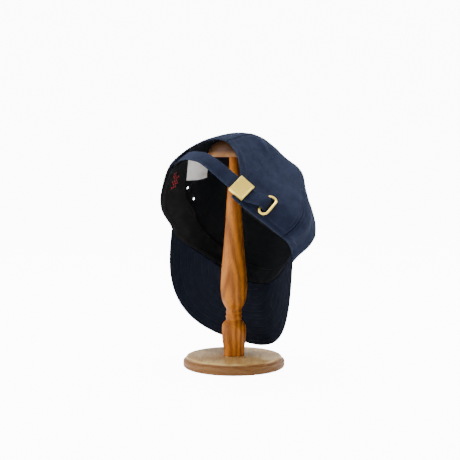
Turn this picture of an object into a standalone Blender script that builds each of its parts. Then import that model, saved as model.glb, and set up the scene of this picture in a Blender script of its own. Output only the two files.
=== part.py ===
"""A cotton baseball cap hung by its back on a small turned wooden hat stand.

Metres, Z up. The stand's base rests on z = 0 with the post's axis at x = y = 0, and the open
underside of the cap faces -Y. The cap is worked out in its own crown frame (x towards the wearer's
right, y forward, z up through the crown) and then moved into the stand's frame.
"""
import math

import bmesh
import bpy
import numpy as np
from mathutils import Matrix, Vector

# Gaps between pieces that touch
PIECE_GAP = 0.0003

# Stand
BASE_DIAMETER = 0.1110
BASE_THICKNESS = 0.0124
POST_TOP_HEIGHT = 0.2290       # floor to the underside of the knob
POST_MAX_RADIUS = 0.0146
FOOT_WIDTH = 0.0264            # square foot across its flats, at its widest
FOOT_CHAMFER = 0.0046
FOOT_HEIGHT = 0.0386           # base top to the groove over the foot
KNOB_RADIUS = 0.0280
KNOB_HEIGHT = 0.0211
TURNED_STEPS = 28

# Base moulding: radius as a share of half BASE_DIAMETER, height as a share of BASE_THICKNESS.
BASE_PROFILE = (
    (0.000, 1.000),
    (0.880, 1.000),
    (0.915, 0.975),
    (0.937, 0.900),
    (0.945, 0.790),
    (0.945, 0.700),
    (0.978, 0.660),
    (0.996, 0.590),
    (1.000, 0.480),
    (1.000, 0.200),
    (0.992, 0.080),
    (0.970, 0.000),
    (0.000, 0.000),
)
# Post above its foot, from the groove up: height as a share of POST_TOP_HEIGHT, radius as a share
# of POST_MAX_RADIUS. Two beads, then the vase that swells low and thins to the knob.
POST_PROFILE = (
    (0.2240, 0.600),
    (0.2292, 0.573),
    (0.2345, 0.606),
    (0.2397, 0.622),
    (0.2450, 0.600),
    (0.2508, 0.548),
    (0.2555, 0.590),
    (0.2603, 0.606),
    (0.2651, 0.590),
    (0.2716, 0.553),
    (0.2800, 0.595),
    (0.2987, 0.765),
    (0.3179, 0.884),
    (0.3371, 0.946),
    (0.3563, 0.980),
    (0.3755, 0.999),
    (0.3948, 0.990),
    (0.4332, 0.968),
    (0.4716, 0.922),
    (0.5100, 0.865),
    (0.5480, 0.811),
    (0.5865, 0.760),
    (0.6245, 0.716),
    (0.6629, 0.673),
    (0.7009, 0.626),
    (0.7389, 0.591),
    (0.7961, 0.535),
    (0.8528, 0.474),
    (0.9096, 0.414),
    (0.9616, 0.366),
    (1.0000, 0.360),
)
# Foot of the post: height as a share of FOOT_HEIGHT, width across the flats as a share of
# FOOT_WIDTH, then the radius the lathe has cut the corners back to, as a share of FOOT_WIDTH.
FOOT_PROFILE = (
    (0.000, 0.830, 0.640),
    (0.110, 0.845, 0.640),
    (0.310, 0.905, 0.640),
    (0.420, 0.950, 0.640),
    (0.530, 0.983, 0.630),
    (0.650, 1.000, 0.600),
    (0.770, 0.992, 0.545),
    (0.880, 0.960, 0.470),
    (0.950, 0.930, 0.395),
    (1.000, 0.900, 0.332),
)
# Knob: radius as a share of KNOB_RADIUS, height as a share of KNOB_HEIGHT.
KNOB_PROFILE = (
    (0.000, 1.000),
    (0.200, 0.985),
    (0.400, 0.930),
    (0.580, 0.835),
    (0.740, 0.700),
    (0.870, 0.530),
    (0.960, 0.340),
    (1.000, 0.170),
    (0.985, 0.060),
    (0.930, 0.000),
    (0.000, 0.000),
)

# Cap: walls and seams
CROWN_WALL = 0.0016
SEAM_GAP = 0.0008              # between two crown panels
CROWN_TOP_LEVEL = 0.972        # panels stop here, under the button
PANEL_ROWS = 14
COLUMN_SPACING = {"right": 4.8, "left": 6.8}   # degrees between a panel's columns
PANEL_ROW_SPREAD = 1.22       # rows stand closer together near the rim
PEAK_THICKNESS = 0.0030
PEAK_CLEARANCE = 0.0006        # crown rim to the peak's inner edge
BAND_HEIGHT = 0.0270
BAND_THICKNESS = 0.0012
BAND_CLEARANCE = 0.0014        # crown lining side to the sweatband
ARCH_HALF_WIDTH = 0.0390
ARCH_HEIGHT = 0.0470
# Panel seams, degrees round the head from the front centre towards the wearer's right.
SEAM_DIRECTIONS = (0.0, 55.0, 109.0, 180.0, 243.0, 304.0)

# Rear strap and its metalwork
STRAP_WIDTH = 0.0165
STRAP_THICKNESS = 0.0018
BUCKLE_DIRECTION = 145.3
BUCKLE_LEVEL = 0.0527
BUCKLE_LENGTH = 0.0178         # along the strap
BUCKLE_WIDTH = 0.0202          # across the strap
BUCKLE_PLATE = 0.0012
BUCKLE_BACK = 0.0010
BUCKLE_PASSAGE = 0.0029
BUCKLE_LIFT = 0.0005           # panel to the buckle's back
SLOT_DIRECTION = 125.1
SLOT_LEVEL = 0.0780
SLOT_LENGTH = 0.0262           # outside the wire, across the strap
SLOT_WIDTH = 0.0115            # outside the wire, along the strap
SLOT_WIRE = 0.0026
SLOT_CORNER = 0.0040           # corner radius at the wire's middle
SLOT_LIFT = 0.0007             # panel to the wire
# Strap path: direction in degrees, level on the crown, then the lift of the strap's middle off the
# crown's outer face at its lower and upper edge as shares of STRAP_THICKNESS.
STRAP_PATH = (
    (214.0, 0.0560, -2.050, -2.050),
    (209.0, 0.0560, -2.100, -2.100),
    (204.0, 0.0510, -2.150, -2.250),
    (199.0, 0.0470, -2.050, -2.500),
    (190.0, 0.0450, -1.200, -1.900),
    (180.0, 0.0520, -0.700, -1.150),
    (170.0, 0.0500, -0.260, -0.400),
    (160.0, 0.0510, 0.300, 0.310),
    (153.0, 0.0520, 0.900, 0.920),
    (145.3, 0.0527, 1.640, 1.640),
    (138.5, 0.0565, 2.100, 2.100),
    (132.2, 0.0620, 2.600, 2.600),
    (128.4, 0.0700, 3.200, 3.200),
    (126.9, 0.0730, 2.900, 2.900),
    (125.8, 0.0750, 1.300, 1.300),
    (125.0, 0.0765, -0.300, -0.300),
    (124.0, 0.0775, -1.600, -1.600),
    (121.8, 0.0785, -2.000, -2.000),
    (114.8, 0.0830, -2.000, -2.000),
)

# Small parts
EYELET_BORE = 0.0030
EYELET_WIRE = 0.0013
# Eyelets: direction in degrees and level on the crown; two on each side.
EYELETS = (
    ("eyelet_left_rear", 247.7, 0.1695),
    ("eyelet_left_front", 260.2, 0.1815),
    ("eyelet_right_front", 75.0, 0.1850),
    ("eyelet_right_rear", 87.0, 0.1850),
)
BUTTON_DIAMETER = 0.0150
BUTTON_HEIGHT = 0.0050
LABEL_THICKNESS = 0.0008
# Care label corners on the crown: direction in degrees, level, lift in label thicknesses.
LABEL_CORNERS = (
    (221.0, 0.1620, -3.0),
    (237.6, 0.1540, -3.0),
    (243.7, 0.3140, -11.0),
    (231.0, 0.3320, -11.0),
)

# Shape of the cap
RIM_HALF_WIDTH = 0.0899        # temple to temple is twice this along the peak's bend
PEAK_BEND_RADIUS = 0.1340      # radius the peak is bent to across its width
PEAK_DROP = 34.5               # degrees the peak tips down from the rim plane
PEAK_SEAM_DEPTH = 0.0392       # how far the seam bows forward of the temples
PEAK_LENGTH = 0.0813           # seam to front edge along the middle
PEAK_WIDTH = 0.1822
PEAK_CORNER_REACH = 0.0269     # straight part of the peak's sides
PEAK_ROUNDNESS = 2.456         # superellipse power of the front edge
TEMPLE_FORWARD = 0.0200        # temple line ahead of the crown frame's origin
RIM_BACK_LENGTH = 0.0860       # back of the rim behind the origin
CROWN_HEIGHT = 0.1026
CROWN_CENTRE_BACK = 0.0087
CROWN_LEAN_RIGHT = 0.0082
CROWN_LEAN_FORWARD = 0.0027
CROWN_SIDE_POWER = 2.294
CROWN_RISE_POWER = 2.282

# Seam bow: strengths of the five waves that shape the peak's seam, as shares of PEAK_SEAM_DEPTH.
SEAM_WAVES = (0.0986, 0.3917, 0.3017, 0.2979, -0.1051)

# Crown sections, one row for each 30 degrees round the head from the front centre towards the
# wearer's right: direction in degrees, rim pushed out (share of RIM_HALF_WIDTH), rim lifted (share
# of CROWN_HEIGHT), then the wall pushed out low, half way and high (shares of RIM_HALF_WIDTH).
CROWN_SECTIONS = (
    (0.0, -0.0067, 0.0259, 0.0710, -0.0212, -0.0309),
    (30.0, 0.0141, -0.0424, 0.0325, -0.0153, -0.0756),
    (60.0, -0.0311, 0.0684, 0.0463, -0.0554, -0.1220),
    (90.0, 0.1772, -0.0488, 0.0257, -0.1157, -0.0097),
    (120.0, 0.0402, -0.1392, -0.0411, -0.0716, 0.0433),
    (150.0, -0.1280, -0.0846, -0.0004, 0.0027, 0.0764),
    (180.0, 0.0252, 0.0049, -0.0037, 0.0575, 0.1040),
    (210.0, 0.0744, 0.0704, -0.0229, 0.0329, 0.0684),
    (240.0, 0.0351, -0.0085, -0.0822, 0.0241, 0.0253),
    (270.0, 0.0251, -0.0463, -0.1075, 0.0274, -0.0123),
    (300.0, 0.0014, 0.0056, -0.0513, 0.0108, -0.0128),
    (330.0, 0.0019, -0.0141, 0.0561, -0.0258, 0.0074),
)
SECTION_LEVELS = (0.30, 0.60, 0.85)   # where on the wall the three pushes act

# Folds of the soft crown: direction in degrees, level up the wall, half length and half width as
# shares of CROWN_HEIGHT, lean in degrees, depth as a share of CROWN_HEIGHT (minus is a dent).
FOLDS = (
    (134.0, 0.150, 0.120, 0.060, 80.0, -0.020),
    (105.0, 0.200, 0.300, 0.070, -6.0, 0.020),
    (97.0, 0.230, 0.260, 0.060, -6.0, -0.022),
    (166.0, 0.520, 0.120, 0.060, 55.0, 0.013),
    (156.0, 0.450, 0.140, 0.060, 65.0, -0.013),
    (119.0, 0.200, 0.180, 0.060, 30.0, 0.010),
)
# Pose of the crown frame in the stand's frame.
CROWN_TURN = (-0.82502, 0.40228, -0.55294)     # rotation vector, radians
# Where the crown's inside hangs on the knob: direction in degrees and level on the crown, then
# the place on the stand, degrees round the post, radius as a share of KNOB_RADIUS and height over
# the knob's underside as a share of KNOB_HEIGHT.
KNOB_REST = (173.0, 0.3890, -60.724, 0.7634, 0.7253)


def rotation_from_vector(vector):
    """Rotation matrix of a rotation vector."""
    angle = float(np.linalg.norm(vector))
    x, y, z = np.asarray(vector) / angle
    cross = np.array([[0, -z, y], [z, 0, -x], [-y, x, 0]])
    return np.eye(3) + math.sin(angle) * cross + (1 - math.cos(angle)) * cross @ cross


CROWN_AXES = rotation_from_vector(CROWN_TURN)


def place(points):
    """Points of the crown frame moved into the stand's frame."""
    return np.asarray(points) @ CROWN_AXES.T + np.array(CROWN_ORIGIN)


def wave_weights(theta):
    """Weight of every row of CROWN_SECTIONS at each direction theta (radians)."""
    rows = len(CROWN_SECTIONS)
    centres = np.radians([row[0] for row in CROWN_SECTIONS])
    delta = np.asarray(theta)[..., None] - centres
    total = np.ones_like(delta)
    for order in range(1, rows // 2):
        total = total + 2 * np.cos(order * delta)
    total = total + np.cos(rows // 2 * delta)
    return total / rows


def level_weights(level):
    """Weight of the low, half way and high pushes at each level from 0 (rim) to 1 (top)."""
    nodes = (0.0,) + SECTION_LEVELS + (1.0,)
    level = np.asarray(level, float)
    columns = []
    for mine in (1, 2, 3):
        weight = np.ones_like(level)
        for other in range(5):
            if other != mine:
                weight = weight * (level - nodes[other]) / (nodes[mine] - nodes[other])
        columns.append(weight)
    return np.stack(columns, -1)


def peak_surface(across, ahead):
    """Point of the bent peak: across its width, and ahead of the temple line down its slope."""
    drop = math.radians(PEAK_DROP)
    down = np.array([0.0, math.cos(drop), -math.sin(drop)])
    over = np.array([0.0, math.sin(drop), math.cos(drop)])
    crest = PEAK_BEND_RADIUS * (1 - math.cos(RIM_HALF_WIDTH / PEAK_BEND_RADIUS))
    turn = np.asarray(across) / PEAK_BEND_RADIUS
    side = PEAK_BEND_RADIUS * np.sin(turn)
    lift = crest - PEAK_BEND_RADIUS * (1 - np.cos(turn))
    return (side[..., None] * np.array([1.0, 0.0, 0.0]) + np.asarray(ahead)[..., None] * down
            + lift[..., None] * over + np.array([0.0, TEMPLE_FORWARD, 0.0]))


def seam_flat(theta):
    """Peak seam in the flat of the peak, (across, ahead), for directions within 90 degrees."""
    sine = np.sin(theta)
    bow = np.clip(np.cos(theta), 0, None)
    a, b, c, d, e = SEAM_WAVES
    waves = a * sine + b * (bow - 0.6) + c * sine * (bow - 0.5) * 2 + d * (bow * bow - 0.5) + e * sine ** 3
    return RIM_HALF_WIDTH * sine, PEAK_SEAM_DEPTH * bow * (1 + waves)


def rim_raw(theta):
    """Rim point before it is eased: the peak's seam in front, an eased ellipse behind."""
    theta = np.asarray(theta, float)
    across, ahead = seam_flat(theta)
    front = peak_surface(across, ahead)
    chord = PEAK_BEND_RADIUS * math.sin(RIM_HALF_WIDTH / PEAK_BEND_RADIUS)
    ellipse = np.stack([chord * np.sin(theta),
                        TEMPLE_FORWARD + (RIM_BACK_LENGTH + TEMPLE_FORWARD) * np.cos(theta),
                        np.zeros_like(theta)], -1)
    outward = ellipse - np.array([0.0, TEMPLE_FORWARD * 0.3, 0.0])
    outward = outward / np.linalg.norm(outward, axis=-1, keepdims=True)
    table = np.array(CROWN_SECTIONS)
    weights = wave_weights(theta)
    ramp = np.clip(-np.cos(theta) / 0.35, 0, 1)
    ramp = ramp * ramp * (3 - 2 * ramp)
    behind = ellipse + outward * (weights @ table[:, 1] * RIM_HALF_WIDTH * ramp)[..., None]
    behind[..., 2] += weights @ table[:, 2] * CROWN_HEIGHT * ramp
    return np.where((np.cos(theta) >= -1e-9)[..., None], front, behind)


EASE_STEPS = 144


def eased_rim():
    """Rim samples round the head with the corners at the temples eased out."""
    theta = np.arange(EASE_STEPS) * 2 * math.pi / EASE_STEPS
    points = rim_raw(theta)
    for _ in range(6):
        points = 0.5 * points + 0.25 * (np.roll(points, 1, 0) + np.roll(points, -1, 0))
    return points


RIM_SAMPLES = eased_rim()


def rim_point(theta):
    """Rim point at any direction, a smooth curve through the eased samples."""
    place_in_table = np.mod(np.asarray(theta, float), 2 * math.pi) * EASE_STEPS / (2 * math.pi)
    index = np.floor(place_in_table).astype(int)
    share = (place_in_table - index)[..., None]
    before, start, end, after = (RIM_SAMPLES[(index + step) % EASE_STEPS] for step in (-1, 0, 1, 2))
    return 0.5 * (2 * start + (end - before) * share
                  + (2 * before - 5 * start + 4 * end - after) * share ** 2
                  + (3 * start - before - 3 * end + after) * share ** 3)


def fold_push(theta, level):
    """How far the folds push the wall out at each place (metres)."""
    total = np.zeros(np.broadcast(theta, level).shape)
    around = RIM_HALF_WIDTH * np.cos(np.asarray(level) * math.pi / 2)
    for direction, height, half_length, half_width, lean, depth in FOLDS:
        turn = np.mod(theta - math.radians(direction) + math.pi, 2 * math.pi) - math.pi
        side = turn * around
        rise = (level - height) * CROWN_HEIGHT * 1.35
        along = math.cos(math.radians(lean)) * rise + math.sin(math.radians(lean)) * side
        cross = -math.sin(math.radians(lean)) * rise + math.cos(math.radians(lean)) * side
        total = total + depth * CROWN_HEIGHT * np.exp(-(along / (half_length * CROWN_HEIGHT)) ** 2
                                                       - (cross / (half_width * CROWN_HEIGHT)) ** 2)
    return total


def crown_surface(theta, level):
    """Outer face of the crown at direction theta (radians) and level 0 (rim) to 1 (top)."""
    theta, level = np.broadcast_arrays(np.asarray(theta, float), np.asarray(level, float))
    rim = rim_point(theta)
    centre = np.array([0.0, -CROWN_CENTRE_BACK])
    spoke = rim[..., :2] - centre
    reach = np.linalg.norm(spoke, axis=-1)
    spoke = spoke / reach[..., None]
    inward = np.clip(np.cos(math.pi * level / 2), 0, None) ** (2 / CROWN_SIDE_POWER)
    rise = np.sin(math.pi * level / 2) ** (2 / CROWN_RISE_POWER)
    pushes = wave_weights(theta) @ np.array(CROWN_SECTIONS)[:, 3:]
    push = (pushes * level_weights(level)).sum(-1) * RIM_HALF_WIDTH * np.sqrt(inward)
    push = push + fold_push(theta, level) * np.minimum(1, inward * 3)
    out = reach * inward + push
    flat = centre + spoke * out[..., None]
    height = rim[..., 2] + (CROWN_HEIGHT - rim[..., 2]) * rise
    return np.stack([flat[..., 0] + CROWN_LEAN_RIGHT * rise ** 1.5,
                     flat[..., 1] + CROWN_LEAN_FORWARD * rise ** 1.5, height], -1)


def crown_normal(theta, level):
    """Outward normal of the crown's outer face."""
    theta, level = np.broadcast_arrays(np.asarray(theta, float), np.asarray(level, float))
    step = 0.004
    low = np.clip(level - step, 0.0, 0.985)
    around = crown_surface(theta + step, np.clip(level, 0, 0.985)) - crown_surface(theta - step, np.clip(level, 0, 0.985))
    upward = crown_surface(theta, low + 2 * step) - crown_surface(theta, low)
    normal = np.cross(upward, around)
    return normal / np.linalg.norm(normal, axis=-1, keepdims=True)


def crown_point(theta, level, lift=0.0):
    """Point at a lift (metres, plus is outward) from the crown's outer face, in the crown frame."""
    return crown_surface(theta, level) + crown_normal(theta, level) * np.asarray(lift)[..., None]


def resting_origin():
    """Place of the crown frame's origin that hangs the crown's inside on the knob."""
    direction, level, turn, radius, height = KNOB_REST
    turn = math.radians(turn)
    rest = np.array([math.cos(turn) * radius * KNOB_RADIUS, math.sin(turn) * radius * KNOB_RADIUS,
                     POST_TOP_HEIGHT + height * KNOB_HEIGHT])
    inside = crown_point(math.radians(direction), level, -CROWN_WALL)
    return rest - CROWN_AXES @ inside


CROWN_ORIGIN = resting_origin()


def level_at_height(theta, height):
    """Level whose point stands a height above the rim, for one direction."""
    levels = np.linspace(0, 0.9, 181)
    rises = crown_surface(theta, levels)[:, 2]
    return float(np.interp(height, rises - rises[0], levels))


def direction_at_side(side):
    """Direction at the back of the head where the rim stands a given distance to the right."""
    theta = np.radians(np.linspace(125, 235, 441))
    return float(np.interp(-side, -rim_point(theta)[:, 0], theta))


def arch_level(theta):
    """Level of the rear opening's edge at a direction, 0 outside the opening."""
    side = float(rim_point(theta)[0])
    if not math.radians(125) < theta < math.radians(235) or abs(side) >= ARCH_HALF_WIDTH:
        return 0.0
    return level_at_height(theta, ARCH_HEIGHT * math.sqrt(1 - (side / ARCH_HALF_WIDTH) ** 2))


def make_material(name, colour, roughness, metallic=0.0):
    """Principled material of one finish."""
    material = bpy.data.materials.new(name)
    material.use_nodes = True
    shader = material.node_tree.nodes["Principled BSDF"]
    shader.inputs["Base Color"].default_value = (*colour, 1.0)
    shader.inputs["Roughness"].default_value = roughness
    shader.inputs["Metallic"].default_value = metallic
    material.diffuse_color = (*colour, 1.0)
    return material


def new_object(name, mesh, material, collection):
    """Object of a mesh with one material in one collection."""
    part = bpy.data.objects.new(name, mesh)
    collection.objects.link(part)
    if material is not None:
        part.data.materials.append(material)
    return part


def mesh_from_grid(name, grid, closed=False):
    """Open surface through a grid of points; the first index may close on itself."""
    rows, columns = grid.shape[:2]
    shell = bmesh.new()
    verts = [[shell.verts.new(grid[row, column]) for column in range(columns)] for row in range(rows)]
    for row in range(rows if closed else rows - 1):
        after = (row + 1) % rows
        for column in range(columns - 1):
            corners = (verts[row][column], verts[after][column],
                       verts[after][column + 1], verts[row][column + 1])
            shell.faces.new(corners)
    mesh = bpy.data.meshes.new(name)
    shell.to_mesh(mesh)
    shell.free()
    return mesh


def add_solidify(part, thickness, offset):
    """Wall of a given thickness on an open surface."""
    wall = part.modifiers.new("wall", "SOLIDIFY")
    wall.thickness = thickness
    wall.offset = offset
    wall.use_even_offset = True
    wall.use_quality_normals = True
    return wall


def add_cut(part, cutter, operation="DIFFERENCE"):
    """Exact cut of one object by another."""
    cut = part.modifiers.new("cut", "BOOLEAN")
    cut.operation = operation
    cut.solver = "EXACT"
    cut.object = cutter
    return cut


def smooth(part, angle=35.0):
    """Smooth shading with the sharp edges kept."""
    part.data.shade_smooth()
    part.data.set_sharp_from_angle(angle=math.radians(angle))


def turned(name, points, material, collection, steps=TURNED_STEPS):
    """Solid turned about Z from (radius, height) points that run from top to bottom."""
    profile = bmesh.new()
    verts = [profile.verts.new((radius, 0.0, height)) for radius, height in points]
    for start, end in zip(verts, verts[1:]):
        profile.edges.new((start, end))
    mesh = bpy.data.meshes.new(name)
    profile.to_mesh(mesh)
    profile.free()
    part = new_object(name, mesh, material, collection)
    screw = part.modifiers.new("turn", "SCREW")
    screw.axis = "Z"
    screw.steps = steps
    screw.render_steps = steps
    screw.use_merge_vertices = True
    screw.merge_threshold = 0.0001
    screw.use_normal_calculate = True
    screw.use_smooth_shade = False
    return part


def foot_radius(angle, flats, corner_radius):
    """Polar radius of the chamfered square foot, cut back to a turned radius at its corners."""
    near = (angle + math.pi / 4) % (math.pi / 2) - math.pi / 4
    flat = flats / 2 / math.cos(near)
    chamfer_reach = (flats - FOOT_CHAMFER * flats / FOOT_WIDTH) / math.sqrt(2)
    to_corner = abs(abs(near) - math.pi / 4)
    chamfer = chamfer_reach / math.cos(to_corner)
    return min(flat, chamfer, corner_radius)


def build_post(material, collection):
    """Post in one piece: a chamfered square foot that the lathe rounds into beads and a vase."""
    steps = TURNED_STEPS
    angles = [2 * math.pi * step / steps for step in range(steps)]
    rings = []
    for share, flats, corner in FOOT_PROFILE:
        height = BASE_THICKNESS + PIECE_GAP + share * FOOT_HEIGHT
        rings.append([(foot_radius(a, flats * FOOT_WIDTH, corner * FOOT_WIDTH), height) for a in angles])
    for share, radius in POST_PROFILE:
        height = share * POST_TOP_HEIGHT - (PIECE_GAP if share == 1.0 else 0.0)
        rings.append([(radius * POST_MAX_RADIUS, height) for _ in angles])
    grid = np.array([[(r * math.cos(a), r * math.sin(a), z) for (r, z), a in zip(ring, angles)]
                     for ring in rings])
    solid = bmesh.new()
    verts = [[solid.verts.new(point) for point in ring] for ring in grid]
    for low, high in zip(verts, verts[1:]):
        for step in range(steps):
            after = (step + 1) % steps
            solid.faces.new((low[step], low[after], high[after], high[step]))
    solid.faces.new(list(reversed(verts[0])))
    solid.faces.new(verts[-1])
    mesh = bpy.data.meshes.new("stand_post")
    solid.to_mesh(mesh)
    solid.free()
    part = new_object("stand_post", mesh, material, collection)
    smooth(part, 40.0)
    return part


def panel_columns(start, end, spacing):
    """Directions of a panel's columns, closer together over the rear opening."""
    right_end = direction_at_side(ARCH_HALF_WIDTH)
    left_end = direction_at_side(-ARCH_HALF_WIDTH)
    start, end = math.radians(start), math.radians(end)
    if end <= right_end or start >= left_end:
        count = max(2, round(math.degrees(end - start) / spacing))
        return list(np.linspace(start, end, count + 1))
    turns = np.radians(np.arange(0, 91, 9))
    if start < right_end:
        plain = list(np.linspace(start, right_end, max(2, round(math.degrees(right_end - start) / spacing)) + 1))
        return plain[:-1] + [direction_at_side(ARCH_HALF_WIDTH * math.cos(turn)) for turn in turns[:-1]] + [end]
    plain = list(np.linspace(left_end, end, max(2, round(math.degrees(end - left_end) / spacing)) + 1))
    return [start] + [direction_at_side(-ARCH_HALF_WIDTH * math.cos(turn)) for turn in turns[-2::-1]] + plain[1:]


def build_panel(name, start, end, spacing, material, collection):
    """One crown panel: a soft wall between two seams, from the rim or the opening to the button."""
    columns = panel_columns(start, end, spacing)
    grid = np.zeros((len(columns), PANEL_ROWS + 1, 3))
    for index, theta in enumerate(columns):
        low = arch_level(theta)
        shares = np.linspace(0, 1, PANEL_ROWS + 1) ** PANEL_ROW_SPREAD
        levels = low + (CROWN_TOP_LEVEL - low) * shares
        points = crown_surface(theta, levels)
        reach = np.linalg.norm(points[:, :2] - crown_surface(theta, 1.0)[:2], axis=-1)
        if index == 0:
            points = crown_surface(theta + SEAM_GAP / 2 / reach, levels)
        if index == len(columns) - 1:
            points = crown_surface(theta - SEAM_GAP / 2 / reach, levels)
        grid[index] = points
    mesh = mesh_from_grid(name, place(grid)[:, ::-1])
    part = new_object(name, mesh, material, collection)
    add_solidify(part, CROWN_WALL, -1.0)
    smooth(part)
    return part


def peak_outline(count):
    """Outer edge of the peak in its flat, from the wearer's right tip round to the left."""
    turn = np.linspace(0, math.pi, 181)
    power = 2 / PEAK_ROUNDNESS
    reach = PEAK_SEAM_DEPTH + PEAK_LENGTH - PEAK_CORNER_REACH
    across = PEAK_WIDTH / 2 * np.sign(np.cos(turn)) * np.abs(np.cos(turn)) ** power
    ahead = PEAK_CORNER_REACH + reach * np.abs(np.sin(turn)) ** power
    tip = np.linspace(0.08, 1, 10)[:-1]
    side = RIM_HALF_WIDTH + (PEAK_WIDTH / 2 - RIM_HALF_WIDTH) * np.sin(tip * math.pi / 2)
    across = np.concatenate([side, across, -side[::-1]])
    ahead = np.concatenate([PEAK_CORNER_REACH * tip, ahead, PEAK_CORNER_REACH * tip[::-1]])
    return resample(across, ahead, count)


def resample(across, ahead, count):
    """Points spaced evenly along a flat line."""
    run = np.concatenate([[0], np.cumsum(np.hypot(np.diff(across), np.diff(ahead)))])
    spaced = np.linspace(0, run[-1], count)
    return np.interp(spaced, run, across), np.interp(spaced, run, ahead)


def peak_inner_line(count):
    """The crown's rim laid into the flat of the peak and moved out by the clearance."""
    theta = np.radians(np.linspace(84.5, -84.5, 121))
    drop = math.radians(PEAK_DROP)
    down = np.array([0.0, math.cos(drop), -math.sin(drop)])
    rim = rim_point(theta)
    across = PEAK_BEND_RADIUS * np.arcsin(np.clip(rim[:, 0] / PEAK_BEND_RADIUS, -1, 1))
    ahead = (rim - np.array([0.0, TEMPLE_FORWARD, 0.0])) @ down
    slope = np.stack([np.gradient(across), np.gradient(ahead)], -1)
    slope /= np.linalg.norm(slope, axis=-1, keepdims=True)
    across = across - slope[:, 1] * -PEAK_CLEARANCE
    ahead = ahead + slope[:, 0] * -PEAK_CLEARANCE
    return resample(across, ahead, count)


def build_peak(material, collection):
    """The peak: a stiff cloth-covered board bent across its width, sewn under the front rim."""
    count, rows = 41, 5
    inner = np.stack(peak_inner_line(count), -1)
    outer = np.stack(peak_outline(count), -1)
    shares = np.linspace(0, 1, rows)[None, :, None]
    flat = inner[:, None] * (1 - shares) + outer[:, None] * shares
    grid = place(peak_surface(flat[..., 0], flat[..., 1]))
    part = new_object("peak", mesh_from_grid("peak", grid), material, collection)
    add_solidify(part, PEAK_THICKNESS, 0.0)
    smooth(part)
    return part


def tail_bump(theta):
    """Share of the way the sweatband is pushed in by the strap's tucked tail (0 to 1)."""
    distance = abs(math.degrees(theta) - 121.5)
    return max(0.0, min(1.0, (17.0 - distance) / 6.0))


def build_sweatband(material, collection):
    """The sweatband: a soft tape inside the rim from one side of the rear opening to the other."""
    middle = CROWN_WALL + BAND_CLEARANCE + BAND_THICKNESS / 2
    start = 217.0
    end = 360.0 + math.degrees(direction_at_side(ARCH_HALF_WIDTH)) - 1.0
    columns = np.radians(np.linspace(start, end, 53))
    grid = np.zeros((len(columns), 4, 3))
    for index, theta in enumerate(columns):
        turn = theta % (2 * math.pi)
        top = level_at_height(turn, BAND_HEIGHT)
        lift = -(middle + 2.1 * STRAP_THICKNESS * tail_bump(turn))
        grid[index] = crown_point(turn, np.linspace(0.004, top, 4), lift)
    part = new_object("sweatband", mesh_from_grid("sweatband", place(grid)[:, ::-1]), material, collection)
    add_solidify(part, BAND_THICKNESS, 0.0)
    smooth(part)
    return part


def surface_frame(direction, level, lift):
    """Centre, along (towards lower directions), across (up the wall) and outward axes on the crown."""
    theta = math.radians(direction)
    centre = crown_point(theta, level, lift)
    along = crown_surface(theta - 0.02, level) - crown_surface(theta + 0.02, level)
    outward = crown_normal(theta, level)
    along = along - outward * (along @ outward)
    along /= np.linalg.norm(along)
    across = np.cross(outward, along)
    return centre, along, across, outward


def buckle_frame():
    """Centre and axes of the strap's passage through the buckle, turned to the strap's path."""
    lift = BUCKLE_LIFT + BUCKLE_BACK + BUCKLE_PASSAGE / 2
    centre, along, across, outward = surface_frame(BUCKLE_DIRECTION, BUCKLE_LEVEL, lift)
    table = np.array(STRAP_PATH)[::-1]
    ends = []
    for direction in (BUCKLE_DIRECTION - 4, BUCKLE_DIRECTION + 4):
        level = np.interp(direction, table[:, 0], table[:, 1])
        ends.append(crown_surface(math.radians(direction), level))
    along = ends[0] - ends[1]
    along -= outward * (along @ outward)
    along /= np.linalg.norm(along)
    return centre, along, np.cross(outward, along), outward


def strap_grid(count, columns):
    """Middle surface of the strap along its path, held flat where it runs through the buckle."""
    table = np.array(STRAP_PATH)
    stations = np.arange(len(table), dtype=float)
    wanted = np.linspace(0, len(table) - 1, count)
    rows = np.stack([smooth_curve(stations, table[:, column], wanted) for column in range(4)], -1)
    grid = np.zeros((count, columns, 3))
    centre, along, across, outward = buckle_frame()
    for index, (direction, level, low_lift, high_lift) in enumerate(rows):
        theta = math.radians(direction)
        step = 0.01
        stretch = crown_surface(theta, max(level, step) + step) - crown_surface(theta, max(level, step) - step)
        half_level = STRAP_WIDTH / 2 / (np.linalg.norm(stretch) / (2 * step))
        shares = np.linspace(0, 1, columns)
        levels = level + (shares * 2 - 1) * half_level
        lifts = (low_lift + (high_lift - low_lift) * shares) * STRAP_THICKNESS
        row = crown_point(theta, levels, lifts)
        middle = (row[0] + row[-1]) / 2
        grid[index] = middle + (row - middle) * STRAP_WIDTH / np.linalg.norm(row[-1] - row[0])
    offset = grid - centre
    run = np.abs(offset @ along)[..., None]
    share = np.clip((run - BUCKLE_LENGTH * 0.64) / (BUCKLE_LENGTH * 0.4), 0, 1)
    share = share * share * (3 - 2 * share)
    height = (offset @ outward)[..., None]
    stray = (offset[:, columns // 2] @ across)[:, None, None]
    return grid - (outward * height + across * stray) * (1 - share)


def smooth_curve(stations, values, wanted):
    """Smooth curve through values that doesn't overshoot between them."""
    slopes = np.diff(values)
    tangents = np.zeros(len(values))
    for index in range(1, len(values) - 1):
        before, after = slopes[index - 1], slopes[index]
        tangents[index] = 0.0 if before * after <= 0 else 2 * before * after / (before + after)
    tangents[0], tangents[-1] = slopes[0], slopes[-1]
    index = np.clip(np.floor(wanted).astype(int), 0, len(values) - 2)
    share = wanted - stations[index]
    start, end = values[index], values[index + 1]
    return ((2 * share ** 3 - 3 * share ** 2 + 1) * start + (share ** 3 - 2 * share ** 2 + share) * tangents[index]
            + (-2 * share ** 3 + 3 * share ** 2) * end + (share ** 3 - share ** 2) * tangents[index + 1])


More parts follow.
